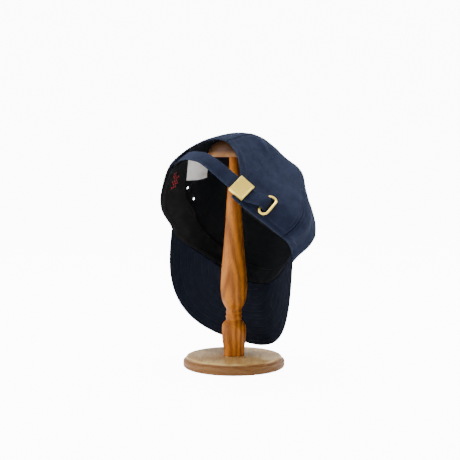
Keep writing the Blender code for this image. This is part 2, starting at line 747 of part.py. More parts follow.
def build_strap(material, collection):
    """The rear strap: sewn inside the left back panel, through the buckle, its end in the slot."""
    grid = place(strap_grid(55, 3))
    part = new_object("rear_strap", mesh_from_grid("rear_strap", grid), material, collection)
    add_solidify(part, STRAP_THICKNESS, 0.0)
    smooth(part)
    return part


def frame_matrix(centre, along, across, outward):
    """Matrix that lays local x, y, z on the along, across and outward axes of the placed cap."""
    axes = np.stack([along, across, outward], -1)
    axes = CROWN_AXES @ axes
    matrix = Matrix.Identity(4)
    for row in range(3):
        for column in range(3):
            matrix[row][column] = axes[row, column]
    matrix.translation = Vector(place(centre))
    return matrix


def box_mesh(name, size, matrix):
    """Mesh of a box of a given size, moved by a matrix."""
    solid = bmesh.new()
    bmesh.ops.create_cube(solid, size=1.0)
    bmesh.ops.scale(solid, vec=Vector(size), verts=solid.verts)
    bmesh.ops.transform(solid, matrix=matrix, verts=solid.verts)
    mesh = bpy.data.meshes.new(name)
    solid.to_mesh(mesh)
    solid.free()
    return mesh


def build_buckle(material, collection, cutters):
    """The buckle: a square brass plate with a back bar, open at both ends for the strap."""
    centre, along, across, outward = buckle_frame()
    depth = BUCKLE_BACK + BUCKLE_PASSAGE + BUCKLE_PLATE
    middle = centre + outward * (BUCKLE_PLATE - BUCKLE_BACK) / 2
    matrix = frame_matrix(middle, along, across, outward)
    body = box_mesh("strap_buckle", (BUCKLE_LENGTH, BUCKLE_WIDTH, depth), matrix)
    part = new_object("strap_buckle", body, material, collection)
    bevel = part.modifiers.new("edges", "BEVEL")
    bevel.width = 0.0009
    bevel.segments = 2
    bevel.limit_method = "ANGLE"
    passage_size = (BUCKLE_LENGTH * 1.5, STRAP_WIDTH + 4 * PIECE_GAP, BUCKLE_PASSAGE)
    passage = box_mesh("buckle_passage", passage_size, frame_matrix(centre, along, across, outward))
    cutter = new_object("buckle_passage", passage, None, cutters)
    add_cut(part, cutter)
    return part


def rounded_slot(length, width, radius, corner_steps):
    """Points round a flat rectangle with round corners, long way along y."""
    points = []
    for number, (side, end) in enumerate(((1, 1), (-1, 1), (-1, -1), (1, -1))):
        middle = (side * (width / 2 - radius), end * (length / 2 - radius))
        for step in range(corner_steps + 1):
            turn = math.pi / 2 * (number + step / corner_steps)
            points.append((middle[0] + radius * math.cos(turn), middle[1] + radius * math.sin(turn)))
    return points


def wire_ring(name, points, wire, material, collection, sides=8):
    """Closed ring of round wire through points."""
    count = len(points)
    ring = np.array(points)
    solid = bmesh.new()
    middle = ring.mean(0)
    normal = np.zeros(3)
    for index in range(count):
        normal += np.cross(ring[index] - middle, ring[(index + 1) % count] - middle)
    normal /= np.linalg.norm(normal)
    rows = []
    for index in range(count):
        run = ring[(index + 1) % count] - ring[index - 1]
        run /= np.linalg.norm(run)
        side = np.cross(run, normal)
        side /= np.linalg.norm(side)
        over = np.cross(side, run)
        rows.append([solid.verts.new(ring[index] + wire / 2 * (math.cos(turn) * side + math.sin(turn) * over))
                     for turn in np.arange(sides) * 2 * math.pi / sides])
    for index in range(count):
        after = (index + 1) % count
        for side in range(sides):
            beside = (side + 1) % sides
            solid.faces.new((rows[index][side], rows[index][beside], rows[after][beside], rows[after][side]))
    bmesh.ops.recalc_face_normals(solid, faces=solid.faces)
    mesh = bpy.data.meshes.new(name)
    solid.to_mesh(mesh)
    solid.free()
    part = new_object(name, mesh, material, collection)
    smooth(part, 60.0)
    return part


def surface_loop(direction, level, loop, lift):
    """Flat loop of points laid over the crown round one place."""
    centre, along, across, outward = surface_frame(direction, level, 0.0)
    theta = math.radians(direction)
    step = 0.01
    turn_stretch = np.linalg.norm(crown_surface(theta + step, level) - crown_surface(theta - step, level)) / (2 * step)
    rise_stretch = np.linalg.norm(crown_surface(theta, level + step) - crown_surface(theta, level - step)) / (2 * step)
    turns = np.array([theta - point[0] / turn_stretch for point in loop])
    levels = np.array([level + point[1] / rise_stretch for point in loop])
    return place(crown_point(turns, levels, lift))


def build_slot(panel, material, collection, cutters):
    """The brass wire round the slot, and the slot cut through the right back panel."""
    lift = SLOT_WIRE / 2 + SLOT_LIFT
    loop = rounded_slot(SLOT_LENGTH - SLOT_WIRE, SLOT_WIDTH - SLOT_WIRE, SLOT_CORNER, 4)
    ring = surface_loop(SLOT_DIRECTION, SLOT_LEVEL, loop, lift)
    part = wire_ring("slot_ring", list(ring), SLOT_WIRE, material, collection)
    hole = rounded_slot(SLOT_LENGTH - 2 * SLOT_WIRE, SLOT_WIDTH - 2 * SLOT_WIRE, SLOT_CORNER / 2.5, 2)
    cut_through(panel, "slot_cutter", SLOT_DIRECTION, SLOT_LEVEL, hole, cutters)
    return part


def cut_through(panel, name, direction, level, loop, cutters):
    """Hole of a flat outline through the crown's wall at one place."""
    centre, along, across, outward = surface_frame(direction, level, 0.0)
    solid = bmesh.new()
    rows = []
    for lift in (-4 * CROWN_WALL, 4 * CROWN_WALL):
        rows.append([solid.verts.new(place(centre + along * x + across * y + outward * lift)) for x, y in loop])
    for index in range(len(loop)):
        after = (index + 1) % len(loop)
        solid.faces.new((rows[0][index], rows[0][after], rows[1][after], rows[1][index]))
    solid.faces.new(rows[0][::-1])
    solid.faces.new(rows[1])
    bmesh.ops.recalc_face_normals(solid, faces=solid.faces)
    mesh = bpy.data.meshes.new(name)
    solid.to_mesh(mesh)
    solid.free()
    cutter = new_object(name, mesh, None, cutters)
    add_cut(panel, cutter)
    return cutter


def circle(radius, count):
    """Points round a flat circle."""
    return [(radius * math.cos(2 * math.pi * step / count), radius * math.sin(2 * math.pi * step / count))
            for step in range(count)]


def build_eyelet(name, direction, level, panel, material, collection, cutters):
    """One stitched vent eyelet: a thread ring round a hole through a side panel."""
    loop = circle(EYELET_BORE / 2 + EYELET_WIRE / 2, 12)
    ring = surface_loop(direction, level, loop, EYELET_WIRE / 2 + PIECE_GAP)
    part = wire_ring(name, list(ring), EYELET_WIRE, material, collection, sides=6)
    cut_through(panel, name + "_cutter", direction, level, circle(EYELET_BORE / 2, 12), cutters)
    return part


def build_button(material, collection):
    """The covered button over the point where the six panels meet."""
    share = (
        (0.000, 1.000), (0.250, 0.970), (0.480, 0.880), (0.680, 0.740), (0.840, 0.550),
        (0.950, 0.320), (1.000, 0.120), (0.960, 0.000), (0.000, 0.000),
    )
    points = [(radius * BUTTON_DIAMETER / 2, height * BUTTON_HEIGHT) for radius, height in share]
    part = turned("top_button", points, material, collection, steps=20)
    rim = crown_surface(np.radians(np.arange(0, 360, 15)), CROWN_TOP_LEVEL)
    pole = np.array([*crown_surface(0.0, 1.0)[:2], rim[:, 2].max()])
    offsets = rim - rim.mean(0)
    outward = np.linalg.svd(offsets)[2][2]
    outward = outward if outward[2] > 0 else -outward
    along = np.cross([0.0, 1.0, 0.0], outward)
    along /= np.linalg.norm(along)
    across = np.cross(outward, along)
    seat = pole + outward * 2 * PIECE_GAP
    part.matrix_world = frame_matrix(seat, along, across, outward)
    return part


def build_label(material, collection):
    """The care label: a small cloth tab sewn over the sweatband's edge, lying on the crown."""
    corners = [crown_point(math.radians(d), level, lift * LABEL_THICKNESS) for d, level, lift in LABEL_CORNERS]
    low_start, low_end, high_end, high_start = corners
    count = 7
    grid = np.zeros((count, 4, 3))
    inward = -crown_normal(math.radians(238.0), 0.25)
    for row in range(count):
        share = row / (count - 1)
        curl = math.sin(math.pi * share) * 0.0020
        for column in range(4):
            side = column / 3
            low = low_start + (low_end - low_start) * side
            high = high_start + (high_end - high_start) * side
            grid[row, column] = low + (high - low) * share + inward * curl
    part = new_object("care_label", mesh_from_grid("care_label", place(grid)), material, collection)
    add_solidify(part, LABEL_THICKNESS, 0.0)
    return part


def main():
    """Build every piece of the cap and its stand."""
    for old in list(bpy.data.objects):
        bpy.data.objects.remove(old)
    collection = bpy.data.collections.new("cap_on_stand")
    cutters = bpy.data.collections.new("cutters")
    bpy.context.scene.collection.children.link(collection)
    bpy.context.scene.collection.children.link(cutters)

    oak = make_material("oiled_wood", (0.36, 0.15, 0.045), 0.45)
    pale_oak = make_material("pale_wood", (0.48, 0.30, 0.15), 0.5)
    twill = make_material("navy_twill", (0.012, 0.022, 0.055), 0.9)
    tape = make_material("black_tape", (0.012, 0.012, 0.014), 0.9)
    thread = make_material("navy_thread", (0.014, 0.026, 0.062), 0.8)
    brass = make_material("brass", (0.72, 0.53, 0.22), 0.35, 1.0)
    paper = make_material("white_label", (0.75, 0.75, 0.74), 0.8)

    base_points = [(r * BASE_DIAMETER / 2, z * BASE_THICKNESS) for r, z in BASE_PROFILE]
    turned("stand_base", base_points, pale_oak, collection, steps=40)
    build_post(oak, collection)
    knob_points = [(r * KNOB_RADIUS, POST_TOP_HEIGHT + z * KNOB_HEIGHT) for r, z in KNOB_PROFILE]
    turned("stand_knob", knob_points, oak, collection)

    names = ("panel_front_right", "panel_side_right", "panel_rear_right",
             "panel_rear_left", "panel_side_left", "panel_front_left")
    panels = {}
    for index, name in enumerate(names):
        start = SEAM_DIRECTIONS[index]
        end = SEAM_DIRECTIONS[index + 1] if index < 5 else 360.0
        spacing = COLUMN_SPACING["right" if "right" in name else "left"]
        panels[name] = build_panel(name, start, end, spacing, twill, collection)
    build_peak(twill, collection)
    build_sweatband(tape, collection)
    build_strap(twill, collection)
    build_buckle(brass, collection, cutters)
    build_slot(panels["panel_rear_right"], brass, collection, cutters)
    for name, direction, level in EYELETS:
        side = panels["panel_side_left" if "left" in name else "panel_side_right"]
        build_eyelet(name, direction, level, side, thread, collection, cutters)
    build_button(twill, collection)
    build_label(paper, collection)

    for cutter in cutters.objects:
        cutter.hide_render = True
        cutter.display_type = "WIRE"


main()
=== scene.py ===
"""Baseball cap hung on a turned wooden hat stand: the photographed look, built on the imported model.

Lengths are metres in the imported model's frame. The cap is worked out in its crown frame (x towards
the wearer's right, y forward, z up through the crown) and moved into the stand's frame by
CapForm.place. A direction is degrees round the head from the front centre towards the wearer's
right; a level runs from 0 at the rim to 1 at the top.
"""
import logging
import math
from dataclasses import dataclass, field
from enum import Enum
from typing import Callable, Optional, Sequence

import bmesh
import bpy
import numpy as np
from mathutils import Matrix, Vector
from mathutils.bvhtree import BVHTree


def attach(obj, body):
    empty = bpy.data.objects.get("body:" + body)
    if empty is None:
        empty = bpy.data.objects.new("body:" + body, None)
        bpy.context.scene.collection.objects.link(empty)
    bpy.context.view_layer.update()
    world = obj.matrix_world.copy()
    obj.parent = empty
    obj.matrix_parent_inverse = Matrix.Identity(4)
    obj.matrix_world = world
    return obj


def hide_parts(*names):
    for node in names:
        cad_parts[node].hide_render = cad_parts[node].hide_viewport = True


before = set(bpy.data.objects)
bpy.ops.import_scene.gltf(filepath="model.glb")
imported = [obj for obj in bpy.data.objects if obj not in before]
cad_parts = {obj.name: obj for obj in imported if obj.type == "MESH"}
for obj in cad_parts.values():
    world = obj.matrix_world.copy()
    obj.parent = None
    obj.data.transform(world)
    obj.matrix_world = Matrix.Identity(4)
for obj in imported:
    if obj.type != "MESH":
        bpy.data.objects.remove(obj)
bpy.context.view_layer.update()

LOG = logging.getLogger("cap")
MM = 0.001
Array = np.ndarray
Object = bpy.types.Object
Material = bpy.types.Material
Socket = bpy.types.NodeSocket
Node = bpy.types.Node
Tree = bpy.types.NodeTree
Triple = tuple[float, float, float]
Outline = Sequence[tuple[float, float]]


class Slot(Enum):
    """Material slots of the record."""

    PALE_WOOD = "pale_wood"
    OILED_WOOD = "oiled_wood"
    TWILL = "navy_twill"
    TAPE = "black_tape"
    BRASS = "brass"
    THREAD = "navy_thread"
    LABEL = "white_label"


# Shape of the cap

@dataclass(frozen=True)
class CapSizes:
    """Lengths of the cap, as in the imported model."""

    rim_half_width: float = 0.0899
    peak_bend: float = 0.1340
    peak_drop: float = 34.5
    peak_seam_depth: float = 0.0392
    peak_length: float = 0.0813
    peak_width: float = 0.1822
    peak_corner: float = 0.0269
    peak_roundness: float = 2.456
    temple_forward: float = 0.0200
    rim_back: float = 0.0860
    crown_height: float = 0.1026
    centre_back: float = 0.0087
    lean_right: float = 0.0082
    lean_forward: float = 0.0027
    side_power: float = 2.294
    rise_power: float = 2.282
    wall: float = 0.0016
    top_level: float = 0.972
    arch_half_width: float = 0.0390
    arch_height: float = 0.0470


SEAM_WAVES = (0.0986, 0.3917, 0.3017, 0.2979, -0.1051)
# One row each 30 degrees: direction, rim out, rim up, then the wall's pushes low, half way and high.
SECTIONS = np.array((
    (0.0, -0.0067, 0.0259, 0.0710, -0.0212, -0.0309),
    (30.0, 0.0141, -0.0424, 0.0325, -0.0153, -0.0756),
    (60.0, -0.0311, 0.0684, 0.0463, -0.0554, -0.1220),
    (90.0, 0.1772, -0.0488, 0.0257, -0.1157, -0.0097),
    (120.0, 0.0402, -0.1392, -0.0411, -0.0716, 0.0433),
    (150.0, -0.1280, -0.0846, -0.0004, 0.0027, 0.0764),
    (180.0, 0.0252, 0.0049, -0.0037, 0.0575, 0.1040),
    (210.0, 0.0744, 0.0704, -0.0229, 0.0329, 0.0684),
    (240.0, 0.0351, -0.0085, -0.0822, 0.0241, 0.0253),
    (270.0, 0.0251, -0.0463, -0.1075, 0.0274, -0.0123),
    (300.0, 0.0014, 0.0056, -0.0513, 0.0108, -0.0128),
    (330.0, 0.0019, -0.0141, 0.0561, -0.0258, 0.0074),
))
SECTION_LEVELS = (0.30, 0.60, 0.85)
# Folds: direction, level, half length, half width (shares of the crown's height), lean, depth.
FOLDS = (
    (134.0, 0.150, 0.120, 0.060, 80.0, -0.020),
    (105.0, 0.200, 0.300, 0.070, -6.0, 0.020),
    (97.0, 0.230, 0.260, 0.060, -6.0, -0.022),
    (166.0, 0.520, 0.120, 0.060, 55.0, 0.013),
    (156.0, 0.450, 0.140, 0.060, 65.0, -0.013),
    (119.0, 0.200, 0.180, 0.060, 30.0, 0.010),
)
# Fine wrinkles of the washed cloth, seen in the photograph: the same columns as FOLDS.
WRINKLES = (
    (171.0, 0.560, 0.090, 0.022, 62.0, 0.0075),
    (163.0, 0.600, 0.110, 0.020, 48.0, -0.0060),
    (150.0, 0.330, 0.100, 0.024, 70.0, 0.0060),
    (128.0, 0.300, 0.140, 0.026, 35.0, -0.0080),
    (122.0, 0.350, 0.150, 0.030, 22.0, 0.0080),
    (117.0, 0.130, 0.080, 0.018, 58.0, 0.0070),
    (121.0, 0.105, 0.070, 0.015, 62.0, -0.0065),
    (114.0, 0.100, 0.060, 0.016, 50.0, -0.0050),
    (140.0, 0.180, 0.100, 0.018, 84.0, 0.0060),
    (108.0, 0.420, 0.160, 0.030, 10.0, 0.0080),
    (112.0, 0.520, 0.140, 0.026, -16.0, -0.0070),
    (84.0, 0.300, 0.160, 0.030, -12.0, 0.0080),
    (70.0, 0.160, 0.120, 0.024, -30.0, -0.0070),
    (40.0, 0.200, 0.160, 0.030, 20.0, 0.0070),
    (20.0, 0.120, 0.120, 0.024, -48.0, -0.0060),
    (340.0, 0.180, 0.160, 0.030, 24.0, 0.0070),
    (318.0, 0.320, 0.160, 0.028, -18.0, -0.0070),
    (290.0, 0.180, 0.140, 0.026, 30.0, 0.0070),
    (270.0, 0.340, 0.160, 0.030, -10.0, 0.0080),
    (256.0, 0.120, 0.100, 0.020, 44.0, -0.0060),
    (232.0, 0.420, 0.130, 0.026, 16.0, 0.0080),
    (222.0, 0.500, 0.130, 0.024, 32.0, -0.0070),
    (205.0, 0.620, 0.110, 0.022, -36.0, 0.0070),
    (190.0, 0.700, 0.110, 0.022, 14.0, -0.0060),
)
# Vents: piece, direction, level and the panel that carries it.
EYELETS = (
    ("eyelet_left_rear", 247.7, 0.1695, "panel_side_left"),
    ("eyelet_left_front", 260.2, 0.1815, "panel_side_left"),
    ("eyelet_right_front", 75.0, 0.1850, "panel_side_right"),
    ("eyelet_right_rear", 87.0, 0.1850, "panel_side_right"),
)
SEAMS = (0.0, 55.0, 109.0, 180.0, 243.0, 304.0)
CROWN_TURN = np.array((-0.82502, 0.40228, -0.55294))
CROWN_ORIGIN = np.array((-0.01075642, -0.00900889, 0.15381072))


def smoothstep(value: Array, low: float, high: float) -> Array:
    """Smooth ramp from 0 at low to 1 at high."""
    share = np.clip((np.asarray(value, float) - low) / (high - low), 0.0, 1.0)
    return share * share * (3 - 2 * share)


def run_along(path: Array) -> Array:
    """Distance run at each point of a path."""
    return np.concatenate([[0], np.cumsum(np.linalg.norm(np.diff(path, axis=0), axis=1))])


def resample(line: Array, count: int, closed: bool = False) -> Array:
    """Evenly spaced points along a flat line.

    Args:
        line: Points of the line.
        count: Number of points wanted.
        closed: Whether the line ends where it starts, so that its end is left out.

    Returns:
        The points, one row each.
    """
    run = run_along(line)
    wanted = np.linspace(0, run[-1], count, endpoint=not closed)
    return np.stack([np.interp(wanted, run, line[:, 0]), np.interp(wanted, run, line[:, 1])], -1)


def bell(distance: Array, width: float) -> Array:
    """Bell shape, 1 where the distance is nothing."""
    return np.exp(-(distance / width) ** 2)


def unit(vectors: Array) -> Array:
    """Vectors brought to length one."""
    length = np.linalg.norm(vectors, axis=-1, keepdims=True)
    return vectors / np.maximum(length, 1e-12)


@dataclass
class CapForm:
    """Surface of the crown, its rim and its peak, with the pose on the stand."""

    sizes: CapSizes = CapSizes()

    def __post_init__(self) -> None:
        """Work out the axes and the rim once."""
        angle = float(np.linalg.norm(CROWN_TURN))
        x, y, z = CROWN_TURN / angle
        cross = np.array([[0, -z, y], [z, 0, -x], [-y, x, 0]])
        self.axes = np.eye(3) + math.sin(angle) * cross + (1 - math.cos(angle)) * cross @ cross
        drop = math.radians(self.sizes.peak_drop)
        self.down = np.array([0.0, math.cos(drop), -math.sin(drop)])
        self.over = np.array([0.0, math.sin(drop), math.cos(drop)])
        samples = self._raw_rim(np.arange(144) * math.pi / 72)
        for _ in range(6):
            samples = 0.5 * samples + 0.25 * (np.roll(samples, 1, 0) + np.roll(samples, -1, 0))
        self._samples = samples

    def place(self, points: Array) -> Array:
        """Points of the crown frame in the stand's frame."""
        return np.asarray(points) @ self.axes.T + CROWN_ORIGIN

    @staticmethod
    def _waves(theta: Array) -> Array:
        """Weight of every row of SECTIONS at each direction in radians."""
        rows = len(SECTIONS)
        delta = np.asarray(theta)[..., None] - np.radians(SECTIONS[:, 0])
        total = np.ones_like(delta)
        for order in range(1, rows // 2):
            total = total + 2 * np.cos(order * delta)
        return (total + np.cos(rows // 2 * delta)) / rows

    @staticmethod
    def _levels(level: Array) -> Array:
        """Weights of the low, half way and high pushes at each level."""
        nodes = (0.0,) + SECTION_LEVELS + (1.0,)
        columns = []
        for mine in (1, 2, 3):
            weight = np.ones_like(level)
            for other in range(5):
                if other != mine:
                    weight = weight * (level - nodes[other]) / (nodes[mine] - nodes[other])
            columns.append(weight)
        return np.stack(columns, -1)

    def peak_point(self, across: Array, ahead: Array) -> Array:
        """Point of the bent peak.

        Args:
            across: Distance across the peak from its middle.
            ahead: Distance ahead of the temple line, down the slope.

        Returns:
            Points in the crown frame.
        """
        size = self.sizes
        crest = size.peak_bend * (1 - math.cos(size.rim_half_width / size.peak_bend))
        turn = np.asarray(across) / size.peak_bend
        lift = crest - size.peak_bend * (1 - np.cos(turn))
        side = size.peak_bend * np.sin(turn)
        return (side[..., None] * np.array([1.0, 0.0, 0.0]) + np.asarray(ahead)[..., None] * self.down
                + lift[..., None] * self.over + np.array([0.0, size.temple_forward, 0.0]))

    def _raw_rim(self, theta: Array) -> Array:
        """Rim before it is eased: the peak's seam in front, an eased ellipse behind."""
        size = self.sizes
        sine = np.sin(theta)
        bow = np.clip(np.cos(theta), 0, None)
        a, b, c, d, e = SEAM_WAVES
        waves = (a * sine + b * (bow - 0.6) + c * sine * (bow - 0.5) * 2 + d * (bow * bow - 0.5)
                 + e * sine ** 3)
        front = self.peak_point(size.rim_half_width * sine, size.peak_seam_depth * bow * (1 + waves))
        chord = size.peak_bend * math.sin(size.rim_half_width / size.peak_bend)
        depth = size.rim_back + size.temple_forward
        behind = np.stack([chord * sine, size.temple_forward + depth * np.cos(theta), 0 * theta], -1)
        outward = unit(behind - np.array([0.0, size.temple_forward * 0.3, 0.0]))
        weights = self._waves(theta)
        ramp = smoothstep(-np.cos(theta), 0.0, 0.35)
        behind = behind + outward * (weights @ SECTIONS[:, 1] * size.rim_half_width * ramp)[..., None]
        behind[..., 2] += weights @ SECTIONS[:, 2] * size.crown_height * ramp
        return np.where((np.cos(theta) >= -1e-9)[..., None], front, behind)

    def rim(self, theta: Array) -> Array:
        """Rim point at each direction.

        Args:
            theta: Directions in radians.

        Returns:
            Points in the crown frame.
        """
        count = len(self._samples)
        place = np.mod(np.asarray(theta, float), 2 * math.pi) * count / (2 * math.pi)
        index = np.floor(place).astype(int)
        share = (place - index)[..., None]
        before, start, end, after = (self._samples[(index + step) % count] for step in (-1, 0, 1, 2))
        return 0.5 * (2 * start + (end - before) * share
                      + (2 * before - 5 * start + 4 * end - after) * share ** 2
                      + (3 * start - before - 3 * end + after) * share ** 3)

    def fold_push(self, theta: Array, level: Array, folds: Sequence[Sequence[float]]) -> Array:
        """How far a table of folds pushes the wall out.

        Args:
            theta: Directions in radians.
            level: Levels on the wall.
            folds: Rows of direction, level, half length, half width, lean and depth.

        Returns:
            The push in metres at each place.
        """
        height_scale = self.sizes.crown_height
        around = self.sizes.rim_half_width * np.cos(level * math.pi / 2)
        total = np.zeros(np.broadcast(theta, level).shape)
        for direction, height, half_length, half_width, lean, depth in folds:
            turn = np.mod(theta - math.radians(direction) + math.pi, 2 * math.pi) - math.pi
            side = turn * around
            rise = (level - height) * height_scale * 1.35
            tilt = math.radians(lean)
            along = math.cos(tilt) * rise + math.sin(tilt) * side
            cross = math.cos(tilt) * side - math.sin(tilt) * rise
            total = total + depth * height_scale * np.exp(-(along / (half_length * height_scale)) ** 2
                                                           - (cross / (half_width * height_scale)) ** 2)
        return total

    def surface(self, theta: Array, level: Array) -> Array:
        """Outer face of the crown.

        Args:
            theta: Directions in radians.
            level: Levels from 0 at the rim to 1 at the top.

        Returns:
            Points in the crown frame.
        """
        size = self.sizes
        theta, level = np.broadcast_arrays(np.asarray(theta, float), np.asarray(level, float))
        rim = self.rim(theta)
        centre = np.array([0.0, -size.centre_back])
        spoke = rim[..., :2] - centre
        reach = np.linalg.norm(spoke, axis=-1)
        inward = np.clip(np.cos(math.pi * level / 2), 0, None) ** (2 / size.side_power)
        rise = np.sin(math.pi * level / 2) ** (2 / size.rise_power)
        pushes = self._waves(theta) @ SECTIONS[:, 3:]
        push = (pushes * self._levels(level)).sum(-1) * size.rim_half_width * np.sqrt(inward)
        push = push + self.fold_push(theta, level, FOLDS) * np.minimum(1, inward * 3)
        flat = centre + unit(spoke) * (reach * inward + push)[..., None]
        height = rim[..., 2] + (size.crown_height - rim[..., 2]) * rise
        return np.stack([flat[..., 0] + size.lean_right * rise ** 1.5,
                         flat[..., 1] + size.lean_forward * rise ** 1.5, height], -1)

    def normal(self, theta: Array, level: Array) -> Array:
        """Outward normal of the crown's outer face.

        Args:
            theta: Directions in radians.
            level: Levels on the wall.

        Returns:
            Unit vectors in the crown frame.
        """
        theta, level = np.broadcast_arrays(np.asarray(theta, float), np.asarray(level, float))
        step = 0.004
        low = np.clip(level - step, 0.0, 0.985)
        held = np.clip(level, 0, 0.985)
        around = self.surface(theta + step, held) - self.surface(theta - step, held)
        upward = self.surface(theta, low + 2 * step) - self.surface(theta, low)
        return unit(np.cross(upward, around))

    def point(self, theta: Array, level: Array, lift: Array = 0.0) -> Array:
        """Point at a lift from the crown's outer face."""
        return self.surface(theta, level) + self.normal(theta, level) * np.asarray(lift)[..., None]

    def level_at_height(self, theta: float, height: float) -> float:
        """Level that stands a height above the rim at one direction in radians."""
        levels = np.linspace(0, 0.9, 181)
        rises = self.surface(theta, levels)[:, 2]
        return float(np.interp(height, rises - rises[0], levels))

    def direction_at_side(self, side: float) -> float:
        """Direction at the back of the head whose rim stands a distance to the wearer's right."""
        theta = np.radians(np.linspace(125, 235, 441))
        return float(np.interp(-side, -self.rim(theta)[:, 0], theta))

    def arch_level(self, theta: float) -> float:
        """Level of the rear opening's edge at a direction in radians, 0 outside the opening.

        Args:
            theta: Direction in radians.

        Returns:
            The level.
        """
        size = self.sizes
        side = float(self.rim(theta)[0])
        if not math.radians(125) < theta < math.radians(235) or abs(side) >= size.arch_half_width:
            return 0.0
        share = math.sqrt(1 - (side / size.arch_half_width) ** 2)
        return self.level_at_height(theta, size.arch_height * share)

    def frame_at(self, direction: float, level: float, lift: float) -> tuple[Array, Array, Array, Array]:
        """Axes on the crown at one place.

        Args:
            direction: Direction in degrees.
            level: Level on the wall.
            lift: Distance outward.

        Returns:
            Centre, along (towards lower directions), across (up the wall) and outward.
        """
        theta = math.radians(direction)
        outward = self.normal(theta, level)
        along = self.surface(theta - 0.02, level) - self.surface(theta + 0.02, level)
        along = unit(along - outward * (along @ outward))
        return self.point(theta, level, np.array(lift)), along, np.cross(outward, along), outward

    def matrix_at(self, centre: Array, along: Array, outward: Array) -> Matrix:
        """Matrix from a fitting's own axes, x along and z outward, to the stand's frame."""
        axes = self.axes @ np.stack([along, np.cross(outward, along), outward], -1)
        return Matrix.Translation(self.place(centre)) @ Matrix(axes.tolist()).to_4x4()

    def loop_at(self, direction: float, level: float, loop: Outline, lift: float) -> Array:
        """Flat loop laid over the crown round one place.

        Args:
            direction: Direction in degrees.
            level: Level on the wall.
            loop: Points of the loop, along and across.
            lift: Distance outward.

        Returns:
            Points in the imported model's frame.
        """
        theta = math.radians(direction)
        step = 0.01
        around = self.surface(theta + step, level) - self.surface(theta - step, level)
        upward = self.surface(theta, level + step) - self.surface(theta, level - step)
        turn = np.linalg.norm(around) / (2 * step)
        rise = np.linalg.norm(upward) / (2 * step)
        flat = np.array(loop)
        return self.place(self.point(theta - flat[:, 0] / turn, level + flat[:, 1] / rise, np.array(lift)))


# Making meshes

def new_piece(name: str, points: Array, faces: list[tuple[int, ...]], flat: Optional[Array] = None,
              **values: Array) -> Object:
    """Object from points and faces.

    Args:
        name: Name of the piece.
        points: Vertex places, one row each.
        faces: Vertex numbers of each face.
        flat: Place of each vertex in the flat cloth, in metres, kept as the UV map "cloth".
        **values: Values of each vertex, kept as float attributes.

    Returns:
        The new object, shaded smooth.
    """
    mesh = bpy.data.meshes.new(name)
    mesh.from_pydata([tuple(point) for point in points], [], faces)
    if flat is not None:
        layer = mesh.uv_layers.new(name="cloth")
        corner = np.zeros(len(mesh.loops), dtype=np.int32)
        mesh.loops.foreach_get("vertex_index", corner)
        layer.data.foreach_set("uv", np.asarray(flat, np.float32)[corner].ravel())
    for key, value in values.items():
        attribute = mesh.attributes.new(key, "FLOAT", "POINT")
        attribute.data.foreach_set("value", np.asarray(value, np.float32).ravel())
    mesh.shade_smooth()
    piece = bpy.data.objects.new(name, mesh)
    bpy.context.scene.collection.objects.link(piece)
    return piece


def grid_normals(grid: Array) -> Array:
    """Normals of a grid of points: the second index's way crossed with the first's."""
    return unit(np.cross(np.gradient(grid, axis=1), np.gradient(grid, axis=0)))


def flat_of(grid: Array) -> Array:
    """Places of a grid's points in the flat cloth, in metres from its middle column.

    Args:
        grid: Points, columns round by rows up by 3.

    Returns:
        Distances round and up, of the grid's shape.
    """
    around = np.linalg.norm(np.diff(grid, axis=0), axis=-1)
    around = np.concatenate([np.zeros((1, grid.shape[1])), np.cumsum(around, 0)])
    upward = np.linalg.norm(np.diff(grid, axis=1), axis=-1)
    upward = np.concatenate([np.zeros((grid.shape[0], 1)), np.cumsum(upward, 1)], 1)
    return np.stack([around - around[len(around) // 2], upward], -1)


def slab(name: str, grid: Array, over: Array, under: Array, worn: Array = 0.0) -> Object:
    """Closed soft piece with a face over and a face under one grid of points.

    Args:
        name: Name of the piece.
        grid: Middle surface, rows by columns by 3.
        over: Distance of the upper face along the grid's normals.
        under: Distance of the lower face along the grid's normals.
        worn: Wear at the grid's points, given to both faces.

    Returns:
        The piece, with the UV map "cloth" and the attributes "worn" and "under" (1 on the lower face).
    """
    rows, columns = grid.shape[:2]
    normals = grid_normals(grid)
    top = grid + normals * np.broadcast_to(over, (rows, columns))[..., None]
    low = grid + normals * np.broadcast_to(under, (rows, columns))[..., None]
    points = np.concatenate([top.reshape(-1, 3), low.reshape(-1, 3)])
    number = np.arange(rows * columns).reshape(rows, columns)
    start = number[:-1, :-1].ravel()
    right = number[1:, :-1].ravel()
    corner = number[1:, 1:].ravel()
    above = number[:-1, 1:].ravel()
    half = rows * columns
    faces = np.stack([start, above, corner, right], 1).tolist()
    faces += (np.stack([start, right, corner, above], 1) + half).tolist()
    border = np.concatenate([number[:, 0], number[-1, 1:], number[-2::-1, -1], number[0, -2:0:-1]])
    after = np.roll(border, -1)
    faces += np.stack([border, after, after + half, border + half], 1).tolist()
    flat = flat_of(grid).reshape(-1, 2)
    return new_piece(name, points, faces, np.concatenate([flat, flat]), under=np.repeat([0.0, 1.0], half),
                     worn=np.tile(np.broadcast_to(worn, (rows, columns)).ravel(), 2))


def distance_to_line(points: Array, line: Array) -> Array:
    """Distance of points from a line of straight steps.

    Args:
        points: Points, any shape by 3.
        line: Points along the line.

    Returns:
        The distance of each point.
    """
    flat = points.reshape(-1, 3)
    best = np.full(len(flat), np.inf)
    for start, end in zip(line[:-1], line[1:]):
        run = end - start
        share = np.clip((flat - start) @ run / max(run @ run, 1e-16), 0, 1)
        best = np.minimum(best, np.linalg.norm(flat - start - share[:, None] * run, axis=1))
    return best.reshape(points.shape[:-1])


